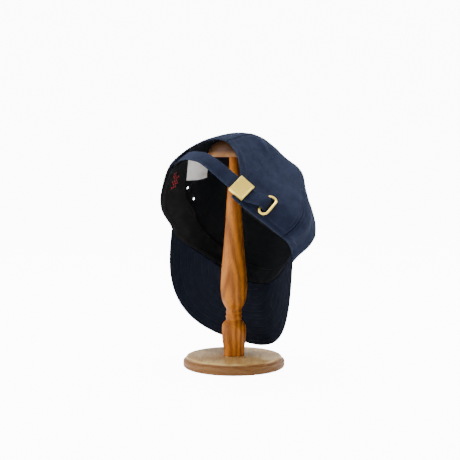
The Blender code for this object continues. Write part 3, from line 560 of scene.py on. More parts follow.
def smooth_curve(values: Array, wanted: Array) -> Array:
    """Smooth curve through evenly numbered values that doesn't overshoot.

    Args:
        values: Values at 0, 1, 2 and so on.
        wanted: Where the curve is read.

    Returns:
        The curve's values.
    """
    slopes = np.diff(values)
    before, after = slopes[:-1], slopes[1:]
    same = before * after > 0
    inner = np.where(same, 2 * before * after / np.where(same, before + after, 1), 0)
    tangents = np.concatenate([[slopes[0]], inner, [slopes[-1]]])
    index = np.clip(np.floor(wanted).astype(int), 0, len(values) - 2)
    share = wanted - index
    start, end = values[index], values[index + 1]
    return ((2 * share ** 3 - 3 * share ** 2 + 1) * start
            + (share ** 3 - 2 * share ** 2 + share) * tangents[index]
            + (-2 * share ** 3 + 3 * share ** 2) * end + (share ** 3 - share ** 2) * tangents[index + 1])


def ripple(flat: Array, size: float, seed: int) -> Array:
    """Soft uneven ripple over flat cloth, between about -1 and 1.

    Args:
        flat: Places in the flat cloth.
        size: Typical length of a ripple.
        seed: Number that picks the ripples.

    Returns:
        The ripple at each place.
    """
    chance = np.random.default_rng(seed)
    total = np.zeros(flat.shape[:-1])
    for _ in range(9):
        turn = chance.uniform(0, math.pi)
        wave = chance.uniform(0.7, 1.9) * size
        phase = chance.uniform(0, 2 * math.pi)
        along = flat[..., 0] * math.cos(turn) + flat[..., 1] * math.sin(turn)
        total += np.sin(along * 2 * math.pi / wave + phase)
    return total / 4


def rounded(edge: Array, thickness: float, rounding: float, least: float) -> Array:
    """Half a thickness that thins over its rounding to the least share at the edge."""
    return thickness / 2 * (least + (1 - least) * np.sqrt(np.clip(edge / rounding, 0, 1)))


def tidy(piece: Object) -> None:
    """Make a piece the only selected and active object."""
    bpy.ops.object.select_all(action="DESELECT")
    piece.select_set(True)
    bpy.context.view_layer.objects.active = piece


def face_outward(piece: Object) -> None:
    """Turn every face of a closed piece outward."""
    tidy(piece)
    bpy.ops.object.mode_set(mode="EDIT")
    bpy.ops.mesh.select_all(action="SELECT")
    bpy.ops.mesh.normals_make_consistent(inside=False)
    bpy.ops.object.mode_set(mode="OBJECT")


def trim(piece: Object, cutter: Object, operation: str = "DIFFERENCE", solver: str = "EXACT") -> None:
    """Cut a piece with a cutter, which is then removed.

    Args:
        piece: The piece.
        cutter: The cutter.
        operation: Boolean operation.
        solver: Boolean solver.
    """
    tidy(piece)
    bpy.ops.object.modifier_add(type="BOOLEAN")
    cut = piece.modifiers[-1]
    cut.operation = operation
    cut.solver = solver
    cut.object = cutter
    bpy.ops.object.modifier_apply(modifier=cut.name)
    bpy.data.objects.remove(cutter)


def soften(piece: Object, width: float, segments: int, degrees: float) -> None:
    """Round the sharp edges of a piece.

    Args:
        piece: The piece.
        width: Width of the rounding.
        segments: Steps across it.
        degrees: Least angle of an edge that is rounded.
    """
    tidy(piece)
    bpy.ops.object.modifier_add(type="BEVEL")
    bevel = piece.modifiers[-1]
    bevel.width = width
    bevel.segments = segments
    bevel.limit_method = "ANGLE"
    bevel.angle_limit = math.radians(degrees)
    bpy.ops.object.modifier_apply(modifier=bevel.name)


def settle(piece: Object, finish: Material, slot: Slot, *nodes: str) -> None:
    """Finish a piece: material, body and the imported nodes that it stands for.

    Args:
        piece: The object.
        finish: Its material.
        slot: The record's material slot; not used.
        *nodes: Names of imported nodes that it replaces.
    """
    piece.data.materials.clear()
    piece.data.materials.append(finish)
    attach(piece, "root")
    if nodes:
        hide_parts(*nodes)
    LOG.info("%s: %d faces, stands for %s", piece.name, len(piece.data.polygons),
             ", ".join(nodes) or "no node")


@dataclass
class Seamstress:
    """Lays rows of stitches on finished pieces."""

    THREAD = 0.00042
    PITCH = 0.0029
    LENGTH = 0.0021

    name: str
    points: list[Array] = field(default_factory=list)
    faces: list[tuple[int, ...]] = field(default_factory=list)

    def row(self, surface: Object, path: Array, pitch: float = PITCH, thread: float = THREAD) -> None:
        """Lay one row of stitches.

        Args:
            surface: Object that the row is sewn on.
            path: Points near the surface along the row.
            pitch: Distance from stitch to stitch.
            thread: Thread thickness.
        """
        tree = BVHTree.FromPolygons([vertex.co[:] for vertex in surface.data.vertices],
                                    [face.vertices[:] for face in surface.data.polygons])
        run = run_along(path)
        half = self.LENGTH / self.PITCH * pitch / 2
        for station in np.arange(pitch, run[-1] - pitch / 2, pitch):
            ends = [np.array([np.interp(station + side, run, path[:, axis]) for axis in range(3)])
                    for side in (-half, 0.0, half)]
            found = []
            for end in ends:
                place, normal, _, _ = tree.find_nearest(Vector(end))
                found.append((np.array(place), np.array(normal)))
            self._stitch(found, thread)

    def _stitch(self, found: list[tuple[Array, Array]], thread: float) -> None:
        """Add one stitch through three places on the surface."""
        start = len(self.points)
        along = unit(found[2][0] - found[0][0])
        for index, (place, normal) in enumerate(found):
            side = unit(np.cross(along, normal))
            lift = 0.25 * thread if index == 1 else -0.35 * thread
            wide = thread * (0.62 if index == 1 else 0.40)
            middle = place + normal * lift
            for turn in (0, 1, 2, 3):
                angle = math.pi / 2 * turn
                self.points.append(middle + side * wide * math.cos(angle) + normal * wide * math.sin(angle))
        for ring in (0, 4):
            for turn in range(4):
                beside = (turn + 1) % 4
                self.faces.append((start + ring + turn, start + ring + 4 + turn,
                                   start + ring + 4 + beside, start + ring + beside))
        self.faces.append((start, start + 1, start + 2, start + 3))
        self.faces.append((start + 11, start + 10, start + 9, start + 8))

    def finish(self, material: Material) -> None:
        """Turn the rows into one object."""
        settle(new_piece(self.name, np.array(self.points), self.faces), material, Slot.THREAD)


# The cap's pieces

@dataclass(frozen=True)
class PanelSizes:
    """Sewing sizes of one crown panel."""

    column: float = 0.0019
    rows: int = 72
    seam_puff: float = 0.00042
    seam_dip: float = 0.00095
    topstitch: float = 0.0031
    hem: float = 0.0072
    hem_rise: float = 0.00050
    groove: float = 0.00022
    arch_binding: float = 0.0060
    seam_half_gap: float = 0.00002
    edge: float = 0.0005
    hem_roll: float = 0.00062
    hem_roll_inside: float = 0.00055
    hem_row: float = 0.0011
    rim_row: float = 0.0016
    arch_row: float = 0.0014
    ripple: float = 0.021
    ripple_depth: float = 0.00016
    vent_reach: float = 0.0042
    vent_thinning: float = 0.0008
    least_wall: float = 0.0004


@dataclass
class CapPart:
    """A part that follows the cap's form; its piece is there once it is built."""

    form: CapForm
    piece: Object = field(init=False)


@dataclass
class CrownPanel(CapPart):
    """One soft panel of the crown, from the rim or the rear opening up to the button."""

    EDGE_STEPS = np.array((0.0, 0.25, 0.55, 0.95, 1.4, 2.0, 2.6, 3.1, 3.6, 4.3, 5.2, 6.3)) * MM
    RISE_STEPS = np.array((0.0, 0.25, 0.6, 1.0, 1.6, 2.4, 3.4, 4.4, 5.3, 6.0, 6.6, 7.2, 7.8, 8.6, 9.8)) * MM

    sizes: PanelSizes
    node: str
    start: float
    end: float

    def _columns(self) -> Array:
        """Directions of the columns, close together at the seams and over the opening's sides."""
        radius = 0.090
        near = self.EDGE_STEPS / radius
        first, last = self.start + near[-1], self.end - near[-1]
        count = max(4, round((last - first) * radius / self.sizes.column))
        middle = np.linspace(first, last, count)
        columns = np.concatenate([self.start + near[:-1], middle, (self.end - near[:-1])[::-1]])
        extra = []
        for side in (1.0, -1.0):
            reach = self.form.sizes.arch_half_width * side
            for turn in np.radians((0.0, 1.2, 3, 5.5, 8.5, 12, 16, 20.5, 25.5)):
                extra.append(self.form.direction_at_side(reach * math.cos(turn)))
        extra = [value for value in extra if self.start + 0.08 < value < self.end - 0.08]
        if extra:
            low, high = min(extra), max(extra)
            columns = columns[(columns < low - 0.012) | (columns > high + 0.004)]
            columns = np.sort(np.concatenate([columns, extra]))
        return columns

    def _levels(self, theta: float, low: float) -> Array:
        """Levels up one column: fixed steps over the edge, then even ones to the button."""
        table = np.linspace(low, self.form.sizes.top_level, 90)
        line = self.form.surface(theta, table)
        run = run_along(line)
        wanted = np.linspace(self.RISE_STEPS[-1], run[-1], self.sizes.rows)[1:]
        return np.interp(np.concatenate([self.RISE_STEPS, wanted]), run, table)

    def build(self) -> None:
        """Model the panel with its seams, hem and wrinkles."""
        form, size = self.form, self.sizes
        columns = self._columns()
        levels = np.array([self._levels(theta, form.arch_level(theta)) for theta in columns])
        theta = np.repeat(columns[:, None], levels.shape[1], 1)
        spokes = form.surface(theta, levels)[..., :2] - form.surface(columns, 1.0)[:, None, :2]
        reach = np.maximum(np.linalg.norm(spokes, axis=-1), 0.004)
        for edge, way in ((0, 1), (-1, -1)):
            theta[edge] += way * size.seam_half_gap / reach[edge]
        base = form.surface(theta, levels)
        seam = np.minimum(distance_to_line(base, base[0]), distance_to_line(base, base[-1]))
        hem = distance_to_line(base, base[:, 0])
        flat = flat_of(base)
        fade = smoothstep(reach, 0.006, 0.022)
        wrinkles = form.fold_push(theta, levels, WRINKLES) * smoothstep(hem, 0.002, 0.012)
        push = wrinkles + ripple(flat + self.start * 7, size.ripple, 5) * size.ripple_depth * fade
        puff = smoothstep(seam, 0.0002, 0.0012) * (1 - smoothstep(seam, 0.0045, 0.0085))
        push += size.seam_puff * fade * puff
        push -= size.seam_dip * bell(seam, size.edge)
        push -= size.groove * bell(seam - size.topstitch, 0.00045) * fade
        behind = smoothstep(-np.cos(theta), 0.05, 0.12)
        push += behind * size.hem_rise * (1 - smoothstep(hem, size.hem, size.hem + 0.0007))
        push -= behind * size.groove * bell(hem - size.hem + size.hem_row, 0.0004)
        push -= size.hem_roll * bell(hem, size.edge)
        under = size.hem_roll_inside * bell(hem, size.edge) - form.sizes.wall + wrinkles * 0.6
        for _, direction, level, node in EYELETS:
            if node == self.node:
                vent = form.surface(math.radians(direction), level)
                away = np.linalg.norm(base - vent, axis=-1)
                under += size.vent_thinning * np.exp(-(away / size.vent_reach) ** 4)
        push = np.maximum(push, under + size.least_wall)
        worn = np.maximum(bell(seam, 0.0010) * 0.6, bell(hem, 0.0009))
        worn = np.maximum(worn, behind * bell(hem - size.hem, 0.0007) * 0.5)
        self.piece = slab(self.node + "_cloth", form.place(base), push, under, worn)

    def pierce(self, direction: float, level: float, loop: Outline) -> None:
        """Cut a hole of a flat outline through the panel.

        Args:
            direction: Direction in degrees.
            level: Level on the wall.
            loop: Outline, along and across.
        """
        centre, along, across, outward = self.form.frame_at(direction, level, 0.0)
        points, count = [], len(loop)
        for lift in (-0.008, 0.008):
            points += [self.form.place(centre + along * x + across * y + outward * lift) for x, y in loop]
        faces = [(i, (i + 1) % count, count + (i + 1) % count, count + i) for i in range(count)]
        faces += [tuple(range(count))[::-1], tuple(range(count, 2 * count))]
        cutter = new_piece(self.node + "_punch", np.array(points), faces)
        face_outward(cutter)
        # The exact solver reads the folded cloth inside out.
        trim(self.piece, cutter, solver="FAST")


@dataclass
class Crown:
    """The six panels of the crown with their seams, vents and topstitching."""

    NODES = ("panel_front_right", "panel_side_right", "panel_rear_right",
             "panel_rear_left", "panel_side_left", "panel_front_left")

    form: CapForm
    sizes: PanelSizes = PanelSizes()

    def __post_init__(self) -> None:
        """Lay out the six panels."""
        ends = SEAMS[1:] + (360.0,)
        self.panels = {node: CrownPanel(self.form, self.sizes, node, math.radians(start), math.radians(end))
                       for node, start, end in zip(self.NODES, SEAMS, ends)}

    def build(self) -> None:
        """Model every panel."""
        for panel in self.panels.values():
            panel.build()

    def dress(self, cloth: Material, thread: Material) -> None:
        """Give the panels their cloth and their topstitching.

        Args:
            cloth: Twill finish.
            thread: Thread finish.
        """
        for node, panel in self.panels.items():
            settle(panel.piece, cloth, Slot.TWILL, node)
        self._stitch_seams(thread)
        self._stitch_edges(thread)

    def _stitch_seams(self, thread: Material) -> None:
        """Two rows of topstitching along each seam."""
        work = Seamstress("crown_seam_stitches")
        for node, panel in self.panels.items():
            for edge, way in ((panel.start, 1), (panel.end, -1)):
                low = self.form.arch_level(edge)
                levels = np.linspace(low + 0.05, 0.90, 60)
                line = self.form.surface(edge, levels)
                spoke = np.linalg.norm(line[:, :2] - self.form.surface(edge, 1.0)[:2], axis=1)
                theta = edge + way * self.sizes.topstitch / spoke
                path = self.form.place(self.form.point(theta, levels, np.full(len(levels), 0.0003)))
                work.row(panel.piece, path)
        work.finish(thread)

    def _stitch_edges(self, thread: Material) -> None:
        """Rows along the hem of the rim and round the rear opening."""
        work = Seamstress("crown_hem_stitches")
        form = self.form
        for panel in self.panels.values():
            columns = [theta for theta in np.linspace(panel.start + 0.03, panel.end - 0.03, 90)
                       if math.cos(theta) < -0.10 and form.arch_level(theta) == 0]
            for height in (self.sizes.hem - self.sizes.hem_row, self.sizes.rim_row):
                path = [form.surface(theta, form.level_at_height(theta, height)) for theta in columns]
                if len(path) > 2:
                    work.row(panel.piece, form.place(np.array(path)))
        self._arch(work)
        work.finish(thread)

    def _arch(self, work: Seamstress) -> None:
        """Two rows round the rear opening, a fixed way up from its edge."""
        form = self.form
        half = form.sizes.arch_half_width
        for inset in (self.sizes.arch_row, self.sizes.arch_binding):
            for node, first, last in (("panel_rear_right", 4.0, 89.0), ("panel_rear_left", 91.0, 176.0)):
                path = []
                for turn in np.radians(np.linspace(first, last, 46)):
                    side = half * math.cos(turn)
                    rise = form.sizes.arch_height * math.sin(turn)
                    slope = unit(np.array([form.sizes.arch_height * math.cos(turn), half * math.sin(turn)]))
                    side, rise = side + slope[0] * inset, rise + slope[1] * inset
                    theta = form.direction_at_side(side)
                    path.append(form.surface(theta, form.level_at_height(theta, rise)))
                work.row(self.panels[node].piece, form.place(np.array(path)))


@dataclass(frozen=True)
class PeakSizes:
    """Sizes of the peak and its rows of stitching."""

    thickness: float = 0.0030
    clearance: float = -0.0022
    first_row: float = 0.0048
    row_pitch: float = 0.0082
    rows: int = 8
    columns: int = 131
    stripes: int = 44
    rounding: float = 0.0022
    puff: float = 0.00024
    groove: float = 0.00018


@dataclass
class Peak(CapPart):
    """The stiff peak: a cloth-covered board bent across its width, with rows of stitching."""

    sizes: PeakSizes = PeakSizes()

    def __post_init__(self) -> None:
        """Work out the outline once."""
        self.outline = self._outline(361)

    def _outline(self, count: int) -> Array:
        """Outer edge in the flat, from the wearer's right tip round to the left."""
        size = self.form.sizes
        turn = np.linspace(0, math.pi, 361)
        power = 2 / size.peak_roundness
        reach = size.peak_seam_depth + size.peak_length - size.peak_corner
        across = size.peak_width / 2 * np.sign(np.cos(turn)) * np.abs(np.cos(turn)) ** power
        ahead = size.peak_corner + reach * np.abs(np.sin(turn)) ** power
        tip = np.linspace(0.08, 1, 10)[:-1]
        side = size.rim_half_width + (size.peak_width / 2 - size.rim_half_width) * np.sin(tip * math.pi / 2)
        across = np.concatenate([side, across, -side[::-1]])
        ahead = np.concatenate([size.peak_corner * tip, ahead, size.peak_corner * tip[::-1]])
        return resample(np.stack([across, ahead], -1), count)

    def _inner(self, count: int) -> Array:
        """The crown's rim laid into the flat of the peak and moved out by the clearance."""
        size = self.form.sizes
        rim = self.form.rim(np.radians(np.linspace(84.5, -84.5, 241)))
        across = size.peak_bend * np.arcsin(np.clip(rim[:, 0] / size.peak_bend, -1, 1))
        ahead = (rim - np.array([0.0, size.temple_forward, 0.0])) @ self.form.down
        slope = unit(np.stack([np.gradient(across), np.gradient(ahead)], -1))
        across = across + slope[:, 1] * self.sizes.clearance
        ahead = ahead - slope[:, 0] * self.sizes.clearance
        return resample(np.stack([across, ahead], -1), count)

    def build(self) -> None:
        """Model the board with its rounded edge."""
        size = self.sizes
        inner = self._inner(size.columns)
        outer = self._outline(size.columns)
        near = 1 - np.array((0.0, 0.0035, 0.010, 0.020, 0.034, 0.052))
        shares = np.concatenate([np.linspace(0, 0.94, size.stripes), near[::-1]])[None, :, None]
        flat = inner[:, None] * (1 - shares) + outer[:, None] * shares
        edge = distance_to_line(np.concatenate([flat, flat[..., :1] * 0], -1),
                                np.concatenate([self.outline, self.outline[:, :1] * 0], -1))
        row = np.mod(edge - size.first_row + size.row_pitch / 2, size.row_pitch) - size.row_pitch / 2
        sewn = smoothstep(edge, size.first_row - 0.001, size.first_row + 0.001)
        thick = rounded(edge, size.thickness, size.rounding, 0.42)
        puff = size.puff * (1 - bell(row, 0.0012)) * sewn
        groove = size.groove * bell(edge - size.first_row, 0.0006)
        grid = self.form.place(self.form.peak_point(flat[..., 0], flat[..., 1]))
        half = thick + puff - groove
        self.piece = slab("peak_cloth", grid, half, -half, bell(edge, 0.0013))

    def dress(self, cloth: Material, thread: Material, under_thread_painted_shade: Material) -> None:
        """Give the peak its cloth and sew its rows on both faces.

        Args:
            cloth: Twill finish.
            thread: Thread finish of the top face.
            under_thread_painted_shade: Thread finish of the under face.
        """
        settle(self.piece, cloth, Slot.TWILL, "peak")
        outline = self.outline
        slope = unit(np.stack([np.gradient(outline[:, 0]), np.gradient(outline[:, 1])], -1))
        inward = np.stack([-slope[:, 1], slope[:, 0]], -1)
        inner = self._inner(241)
        for face, name in ((1, "peak_top_stitches"), (-1, "peak_under_stitches")):
            work = Seamstress(name)
            for number in range(self.sizes.rows):
                inset = self.sizes.first_row + number * self.sizes.row_pitch
                line = outline + inward * inset
                seam = np.interp(line[:, 0], inner[::-1, 0], inner[::-1, 1])
                kept = (line[:, 1] > seam + 0.003) & (np.abs(line[:, 0]) < 0.089 - inset * 0.55)
                line = line[kept]
                if len(line) < 8:
                    continue
                grid = self.form.peak_point(line[:, 0], line[:, 1])
                up = unit(np.cross(self.form.peak_point(line[:, 0] + 0.001, line[:, 1]) - grid,
                                   self.form.peak_point(line[:, 0], line[:, 1] + 0.001) - grid))
                lifted = self.form.place(grid + up * face * self.sizes.thickness * 0.6)
                work.row(self.piece, lifted)
            work.finish(thread if face > 0 else under_thread_painted_shade)


@dataclass(frozen=True)
class BandSizes:
    """Sizes of the sweatband."""

    height: float = 0.0270
    thickness: float = 0.0012
    clearance: float = 0.0014
    tuck: float = 0.00378
    rounding: float = 0.0009
    ripple: float = 0.016
    ripple_depth: float = 0.00016
    groove: float = 0.00016
    row: float = 0.0022


@dataclass
class Sweatband(CapPart):
    """The black sweatband inside the rim, with its row of red stitched bars."""

    sizes: BandSizes = BandSizes()

    def _lift(self, direction: float) -> float:
        """Distance of the band's middle from the crown's outer face at a direction in degrees."""
        bump = max(0.0, min(1.0, (17.0 - abs(direction % 360 - 121.5)) / 6.0))
        bump = bump * bump * (3 - 2 * bump)
        middle = self.form.sizes.wall + self.sizes.clearance + self.sizes.thickness / 2
        return -(middle + self.sizes.tuck * bump)

    def line(self, direction: float, heights: Array, rise: float = 0.0) -> Array:
        """Points up the band's middle at one direction.

        Args:
            direction: Direction in degrees.
            heights: Shares of the band's height.
            rise: Distance inward from the middle.

        Returns:
            Points in the crown frame.
        """
        theta = math.radians(direction % 360)
        top = self.form.level_at_height(theta, self.sizes.height)
        levels = 0.004 + (top - 0.004) * heights
        return self.form.point(theta, levels, np.full(len(heights), self._lift(direction) - rise))

    def build(self) -> None:
        """Model the band."""
        start = 217.0
        end = 360.0 + math.degrees(self.form.direction_at_side(self.form.sizes.arch_half_width)) - 1.0
        heights = np.array((0.0, 0.01, 0.03, 0.06, 0.10, 0.16, 0.24, 0.34, 0.45, 0.56, 0.67, 0.76, 0.83,
                            0.88, 0.92, 0.95, 0.975, 0.99, 1.0))
        columns = np.concatenate([start + np.array((0, 0.25, 0.6)), np.linspace(start + 1.0, end - 1.0, 250),
                                  end - np.array((0.6, 0.25, 0))])
        grid = np.array([self.line(direction, heights) for direction in columns])
        around = np.minimum(columns - start, end - columns)[:, None] * 1.5 * MM
        upward = np.minimum(heights, 1 - heights)[None] * self.sizes.height
        edge = np.minimum(around, upward)
        size = self.sizes
        thick = rounded(edge, size.thickness, size.rounding, 0.35)
        flat = flat_of(grid)
        wave = ripple(flat, size.ripple, 11) * size.ripple_depth * smoothstep(edge, 0.0, 0.004)
        groove = size.groove * bell(upward - size.row, 0.0005)
        self.piece = slab("sweatband_tape", self.form.place(grid), thick + wave - groove,
                          -(thick - wave - groove), bell(edge, size.rounding))

    def dress(self, tape: Material, thread: Material, red: Material) -> None:
        """Give the band its tape, its stitching and its red bars.

        Args:
            tape: Finish of the tape.
            thread: Finish of its stitches.
            red: Finish of the red bars.
        """
        settle(self.piece, tape, Slot.TAPE, "sweatband")
        work = Seamstress("sweatband_stitches")
        inward = self.sizes.thickness / 2 + 0.0006
        for share in (0.075, 0.925):
            path = [self.line(direction, np.array([share]), inward)[0]
                    for direction in np.arange(219, 496, 1.0)]
            work.row(self.piece, self.form.place(np.array(path)), pitch=0.0032)
        work.finish(thread)
        self._bars(red, inward)

    def _bars(self, red: Material, inward: float) -> None:
        """Plain raised bars of satin stitch where the photograph shows red lettering."""
        work = Seamstress("sweatband_red_bars")
        for number, (low, high) in enumerate(((0.22, 0.52), (0.22, 0.52), (0.30, 0.62), (0.22, 0.52),
                                              (0.28, 0.58), (0.22, 0.52))):
            middle = 226.0 + number * 2.35
            for turn in np.arange(-0.62, 0.63, 0.21):
                path = [self.line(middle + turn, np.array([share]), inward)[0]
                        for share in np.linspace(low, high, 6)]
                work.row(self.piece, self.form.place(np.array(path)), pitch=0.0024, thread=0.00050)
        work.finish(red)


@dataclass(frozen=True)
class StrapSizes:
    """Sizes of the rear strap."""

    width: float = 0.0165
    thickness: float = 0.0018
    stitch_inset: float = 0.0021
    rounding: float = 0.0010
    groove: float = 0.00022
    rows: int = 230


@dataclass(frozen=True)
class BuckleSizes:
    """Sizes and place of the slide buckle."""

    direction: float = 145.3
    level: float = 0.0527
    length: float = 0.0178
    width: float = 0.0202
    plate: float = 0.0012
    back: float = 0.0010
    passage: float = 0.0029
    lift: float = 0.0005
    corner: float = 0.0011
    rim: float = 0.0021
    dish: float = 0.00045
    rounding: float = 0.00028
    strap_room: float = 0.0012


@dataclass
class Buckle(CapPart):
    """The square brass slide buckle that the strap runs through."""

    sizes: BuckleSizes = BuckleSizes()

    def __post_init__(self) -> None:
        """Work out the buckle's axes."""
        form, sizes = self.form, self.sizes
        lift = sizes.lift + sizes.back + sizes.passage / 2
        self.centre, along, _, self.outward = form.frame_at(sizes.direction, sizes.level, lift)
        table = STRAP_PATH[::-1]
        ends = []
        for direction in (sizes.direction - 4, sizes.direction + 4):
            level = np.interp(direction, table[:, 0], table[:, 1])
            ends.append(form.surface(math.radians(direction), level))
        along = ends[0] - ends[1]
        self.along = unit(along - self.outward * (along @ self.outward))
        self.across = np.cross(self.outward, self.along)

    def build(self) -> None:
        """Model the sleeve with its dished, rimmed front."""
        size = self.sizes
        depth = size.back + size.passage + size.plate
        middle = (size.plate - size.back) / 2
        bpy.ops.mesh.primitive_cube_add(size=1, location=(0, 0, middle))
        piece = bpy.context.active_object
        piece.name = "slide_buckle"
        piece.scale = (size.length, size.width, depth)
        bpy.ops.object.transform_apply(location=True, scale=True)
        bpy.ops.object.mode_set(mode="EDIT")
        shell = bmesh.from_edit_mesh(piece.data)
        for edge in shell.edges:
            edge.select = abs(edge.verts[0].co.z - edge.verts[1].co.z) > depth / 2
        bpy.ops.mesh.bevel(offset=size.corner, segments=5, affect="EDGES")
        self._pick_front(piece)
        bpy.ops.mesh.inset(thickness=size.rim * 0.42, depth=0.0)
        bpy.ops.mesh.inset(thickness=size.rim * 0.36, depth=-size.dish)
        bpy.ops.mesh.inset(thickness=size.rim * 0.22, depth=-size.dish * 0.2)
        bpy.ops.object.mode_set(mode="OBJECT")
        self._bore(piece)
        soften(piece, size.rounding, 3, 34)
        bpy.ops.object.shade_smooth_by_angle(angle=math.radians(30))
        piece.data.transform(self.form.matrix_at(self.centre, self.along, self.outward))
        self.piece = piece

    @staticmethod
    def _pick_front(piece: Object) -> None:
        """Select the front face in edit mode."""
        bpy.ops.mesh.select_mode(type="FACE")
        shell = bmesh.from_edit_mesh(piece.data)
        highest = max(face.calc_center_median().z for face in shell.faces)
        for face in shell.faces:
            face.select = face.calc_center_median().z > highest - 1e-5 and face.normal.z > 0.9
        bmesh.update_edit_mesh(piece.data)

    def _bore(self, piece: Object) -> None:
        """Open the passage that the strap runs through."""
        size = self.sizes
        bpy.ops.mesh.primitive_cube_add(size=1, location=(0, 0, 0))
        cutter = bpy.context.active_object
        cutter.scale = (size.length * 1.5, StrapSizes().width + size.strap_room, size.passage)
        bpy.ops.object.transform_apply(location=True, scale=True)
        trim(piece, cutter)

    def dress(self, brass: Material) -> None:
        """Give the buckle its brass."""
        settle(self.piece, brass, Slot.BRASS, "strap_buckle")


# Strap path: direction, level, then the lift of its lower and upper edge in strap thicknesses.
STRAP_PATH = np.array((
    (214.0, 0.0560, -2.050, -2.050),
    (209.0, 0.0560, -2.100, -2.100),
    (204.0, 0.0510, -2.150, -2.250),
    (199.0, 0.0470, -2.050, -2.500),
    (190.0, 0.0450, -1.200, -1.900),
    (180.0, 0.0520, -0.700, -1.150),
    (170.0, 0.0500, -0.260, -0.400),
    (160.0, 0.0510, 0.300, 0.310),
    (153.0, 0.0520, 0.900, 0.920),
    (145.3, 0.0527, 1.640, 1.640),
    (138.5, 0.0565, 2.100, 2.100),
    (132.2, 0.0620, 2.600, 2.600),
    (128.4, 0.0700, 3.200, 3.200),
    (126.9, 0.0730, 2.900, 2.900),
    (125.8, 0.0750, 1.300, 1.300),
    (125.0, 0.0765, -0.300, -0.300),
    (124.0, 0.0775, -1.600, -1.600),
    (121.8, 0.0785, -2.000, -2.000),
    (114.8, 0.0830, -2.000, -2.000),
))


@dataclass
class RearStrap(CapPart):
    """The strap of two cloth layers across the rear opening, its end tucked into the slot."""

    buckle: Buckle
    sizes: StrapSizes = StrapSizes()
    middle: Array = field(init=False)

    def build(self) -> None:
        """Model the strap along its path."""
        form, size = self.form, self.sizes
        near = np.array((0.0, 0.018, 0.045, 0.08, 0.115, 0.15, 0.21, 0.30, 0.40))
        shares = np.concatenate([near, [0.5], 1 - near[::-1]])
        wanted = np.linspace(0, len(STRAP_PATH) - 1, size.rows)
        rows = np.stack([smooth_curve(STRAP_PATH[:, column], wanted) for column in range(4)], -1)
        grid = np.zeros((len(rows), len(shares), 3))
        step = 0.01
        for index, (direction, level, low, high) in enumerate(rows):
            theta = math.radians(direction)
            held = max(level, step)
            stretch = form.surface(theta, held + step) - form.surface(theta, held - step)
            half = size.width / 2 / (np.linalg.norm(stretch) / (2 * step))
            row = form.point(theta, level + (shares * 2 - 1) * half,
                             (low + (high - low) * shares) * size.thickness)
            middle = (row[0] + row[-1]) / 2
            grid[index] = middle + (row - middle) * size.width / np.linalg.norm(row[-1] - row[0])
        grid = self._held(grid, len(shares) // 2)
        inset = np.minimum(shares, 1 - shares) * size.width
        run = run_along(grid[:, len(shares) // 2])
        ends = np.minimum(run, run[-1] - run)[:, None]
        edge = np.minimum(inset[None], ends)
        thick = rounded(edge, size.thickness, size.rounding, 0.38)
        thick = thick - size.groove * bell(inset[None] - size.stitch_inset, 0.0006)
        self.middle = form.place(grid)[:, ::-1]
        self.piece = slab("strap_cloth", self.middle, thick, -thick, bell(edge, 0.0008))

    def _held(self, grid: Array, centre_column: int) -> Array:
        """Bring the strap flat where it runs through the buckle."""
        buckle = self.buckle
        offset = grid - buckle.centre
        run = np.abs(offset @ buckle.along)[..., None]
        share = smoothstep(run, buckle.sizes.length * 0.64, buckle.sizes.length * 1.04)
        height = (offset @ buckle.outward)[..., None]
        stray = (offset[:, centre_column] @ buckle.across)[:, None, None]
        return grid - (buckle.outward * height + buckle.across * stray) * (1 - share)

    def dress(self, cloth: Material, thread: Material) -> None:
        """Give the strap its cloth and its edge stitching.

        Args:
            cloth: Twill finish.
            thread: Thread finish.
        """
        settle(self.piece, cloth, Slot.TWILL, "rear_strap")
        normals = grid_normals(self.middle)
        work = Seamstress("strap_stitches")
        for column in (4, self.middle.shape[1] - 5):
            for side in (1, -1):
                path = self.middle[6:-6, column] + normals[6:-6, column] * side * self.sizes.thickness * 0.7
                work.row(self.piece, path)
        work.finish(thread)


@dataclass(frozen=True)
class RingSizes:
    """Sizes and place of the brass ring of the strap's slot."""

    direction: float = 125.1
    level: float = 0.0780
    length: float = 0.0262
    width: float = 0.0115
    wire: float = 0.0026
    corner: float = 0.0040
    lift: float = 0.0007


def rounded_slot(length: float, width: float, radius: float, steps: int) -> list[tuple[float, float]]:
    """Points round a flat rectangle with round corners.

    Args:
        length: Long way, across the strap.
        width: Short way, along the strap.
        radius: Corner radius.
        steps: Steps in each corner.

    Returns:
        Points, along and across.
    """
    points = []
    for number, (side, end) in enumerate(((1, 1), (-1, 1), (-1, -1), (1, -1))):
        for step in range(steps + 1):
            turn = math.pi / 2 * (number + step / steps)
            points.append((side * (width / 2 - radius) + radius * math.cos(turn),
                           end * (length / 2 - radius) + radius * math.sin(turn)))
    return points


def circle(radius: float, count: int) -> list[tuple[float, float]]:
    """Points round a flat circle."""
    turns = np.arange(count) * 2 * math.pi / count
    return [(radius * math.cos(turn), radius * math.sin(turn)) for turn in turns]


def wire_loop(name: str, ring: Array, radius: Callable[[int, float], float], sides: int) -> Object:
    """Closed loop of wire whose radius may change round it.

    Args:
        name: Name of the piece.
        ring: Points round the loop.
        radius: Radius for a point's number and the turn round the wire.
        sides: Steps round the wire.

    Returns:
        The loop.
    """
    count = len(ring)
    middle = ring.mean(0)
    normal = unit(sum(np.cross(ring[i] - middle, ring[(i + 1) % count] - middle) for i in range(count)))
    points = []
    for index in range(count):
        run = unit(ring[(index + 1) % count] - ring[index - 1])
        side = unit(np.cross(run, normal))
        over = np.cross(side, run)
        for turn in np.arange(sides) * 2 * math.pi / sides:
            reach = radius(index, turn)
            points.append(ring[index] + reach * (math.cos(turn) * side + math.sin(turn) * over))
    faces = []
    for index in range(count):
        after = (index + 1) % count
        for side in range(sides):
            beside = (side + 1) % sides
            faces.append((index * sides + side, index * sides + beside,
                          after * sides + beside, after * sides + side))
    piece = new_piece(name, np.array(points), faces)
    face_outward(piece)
    return piece


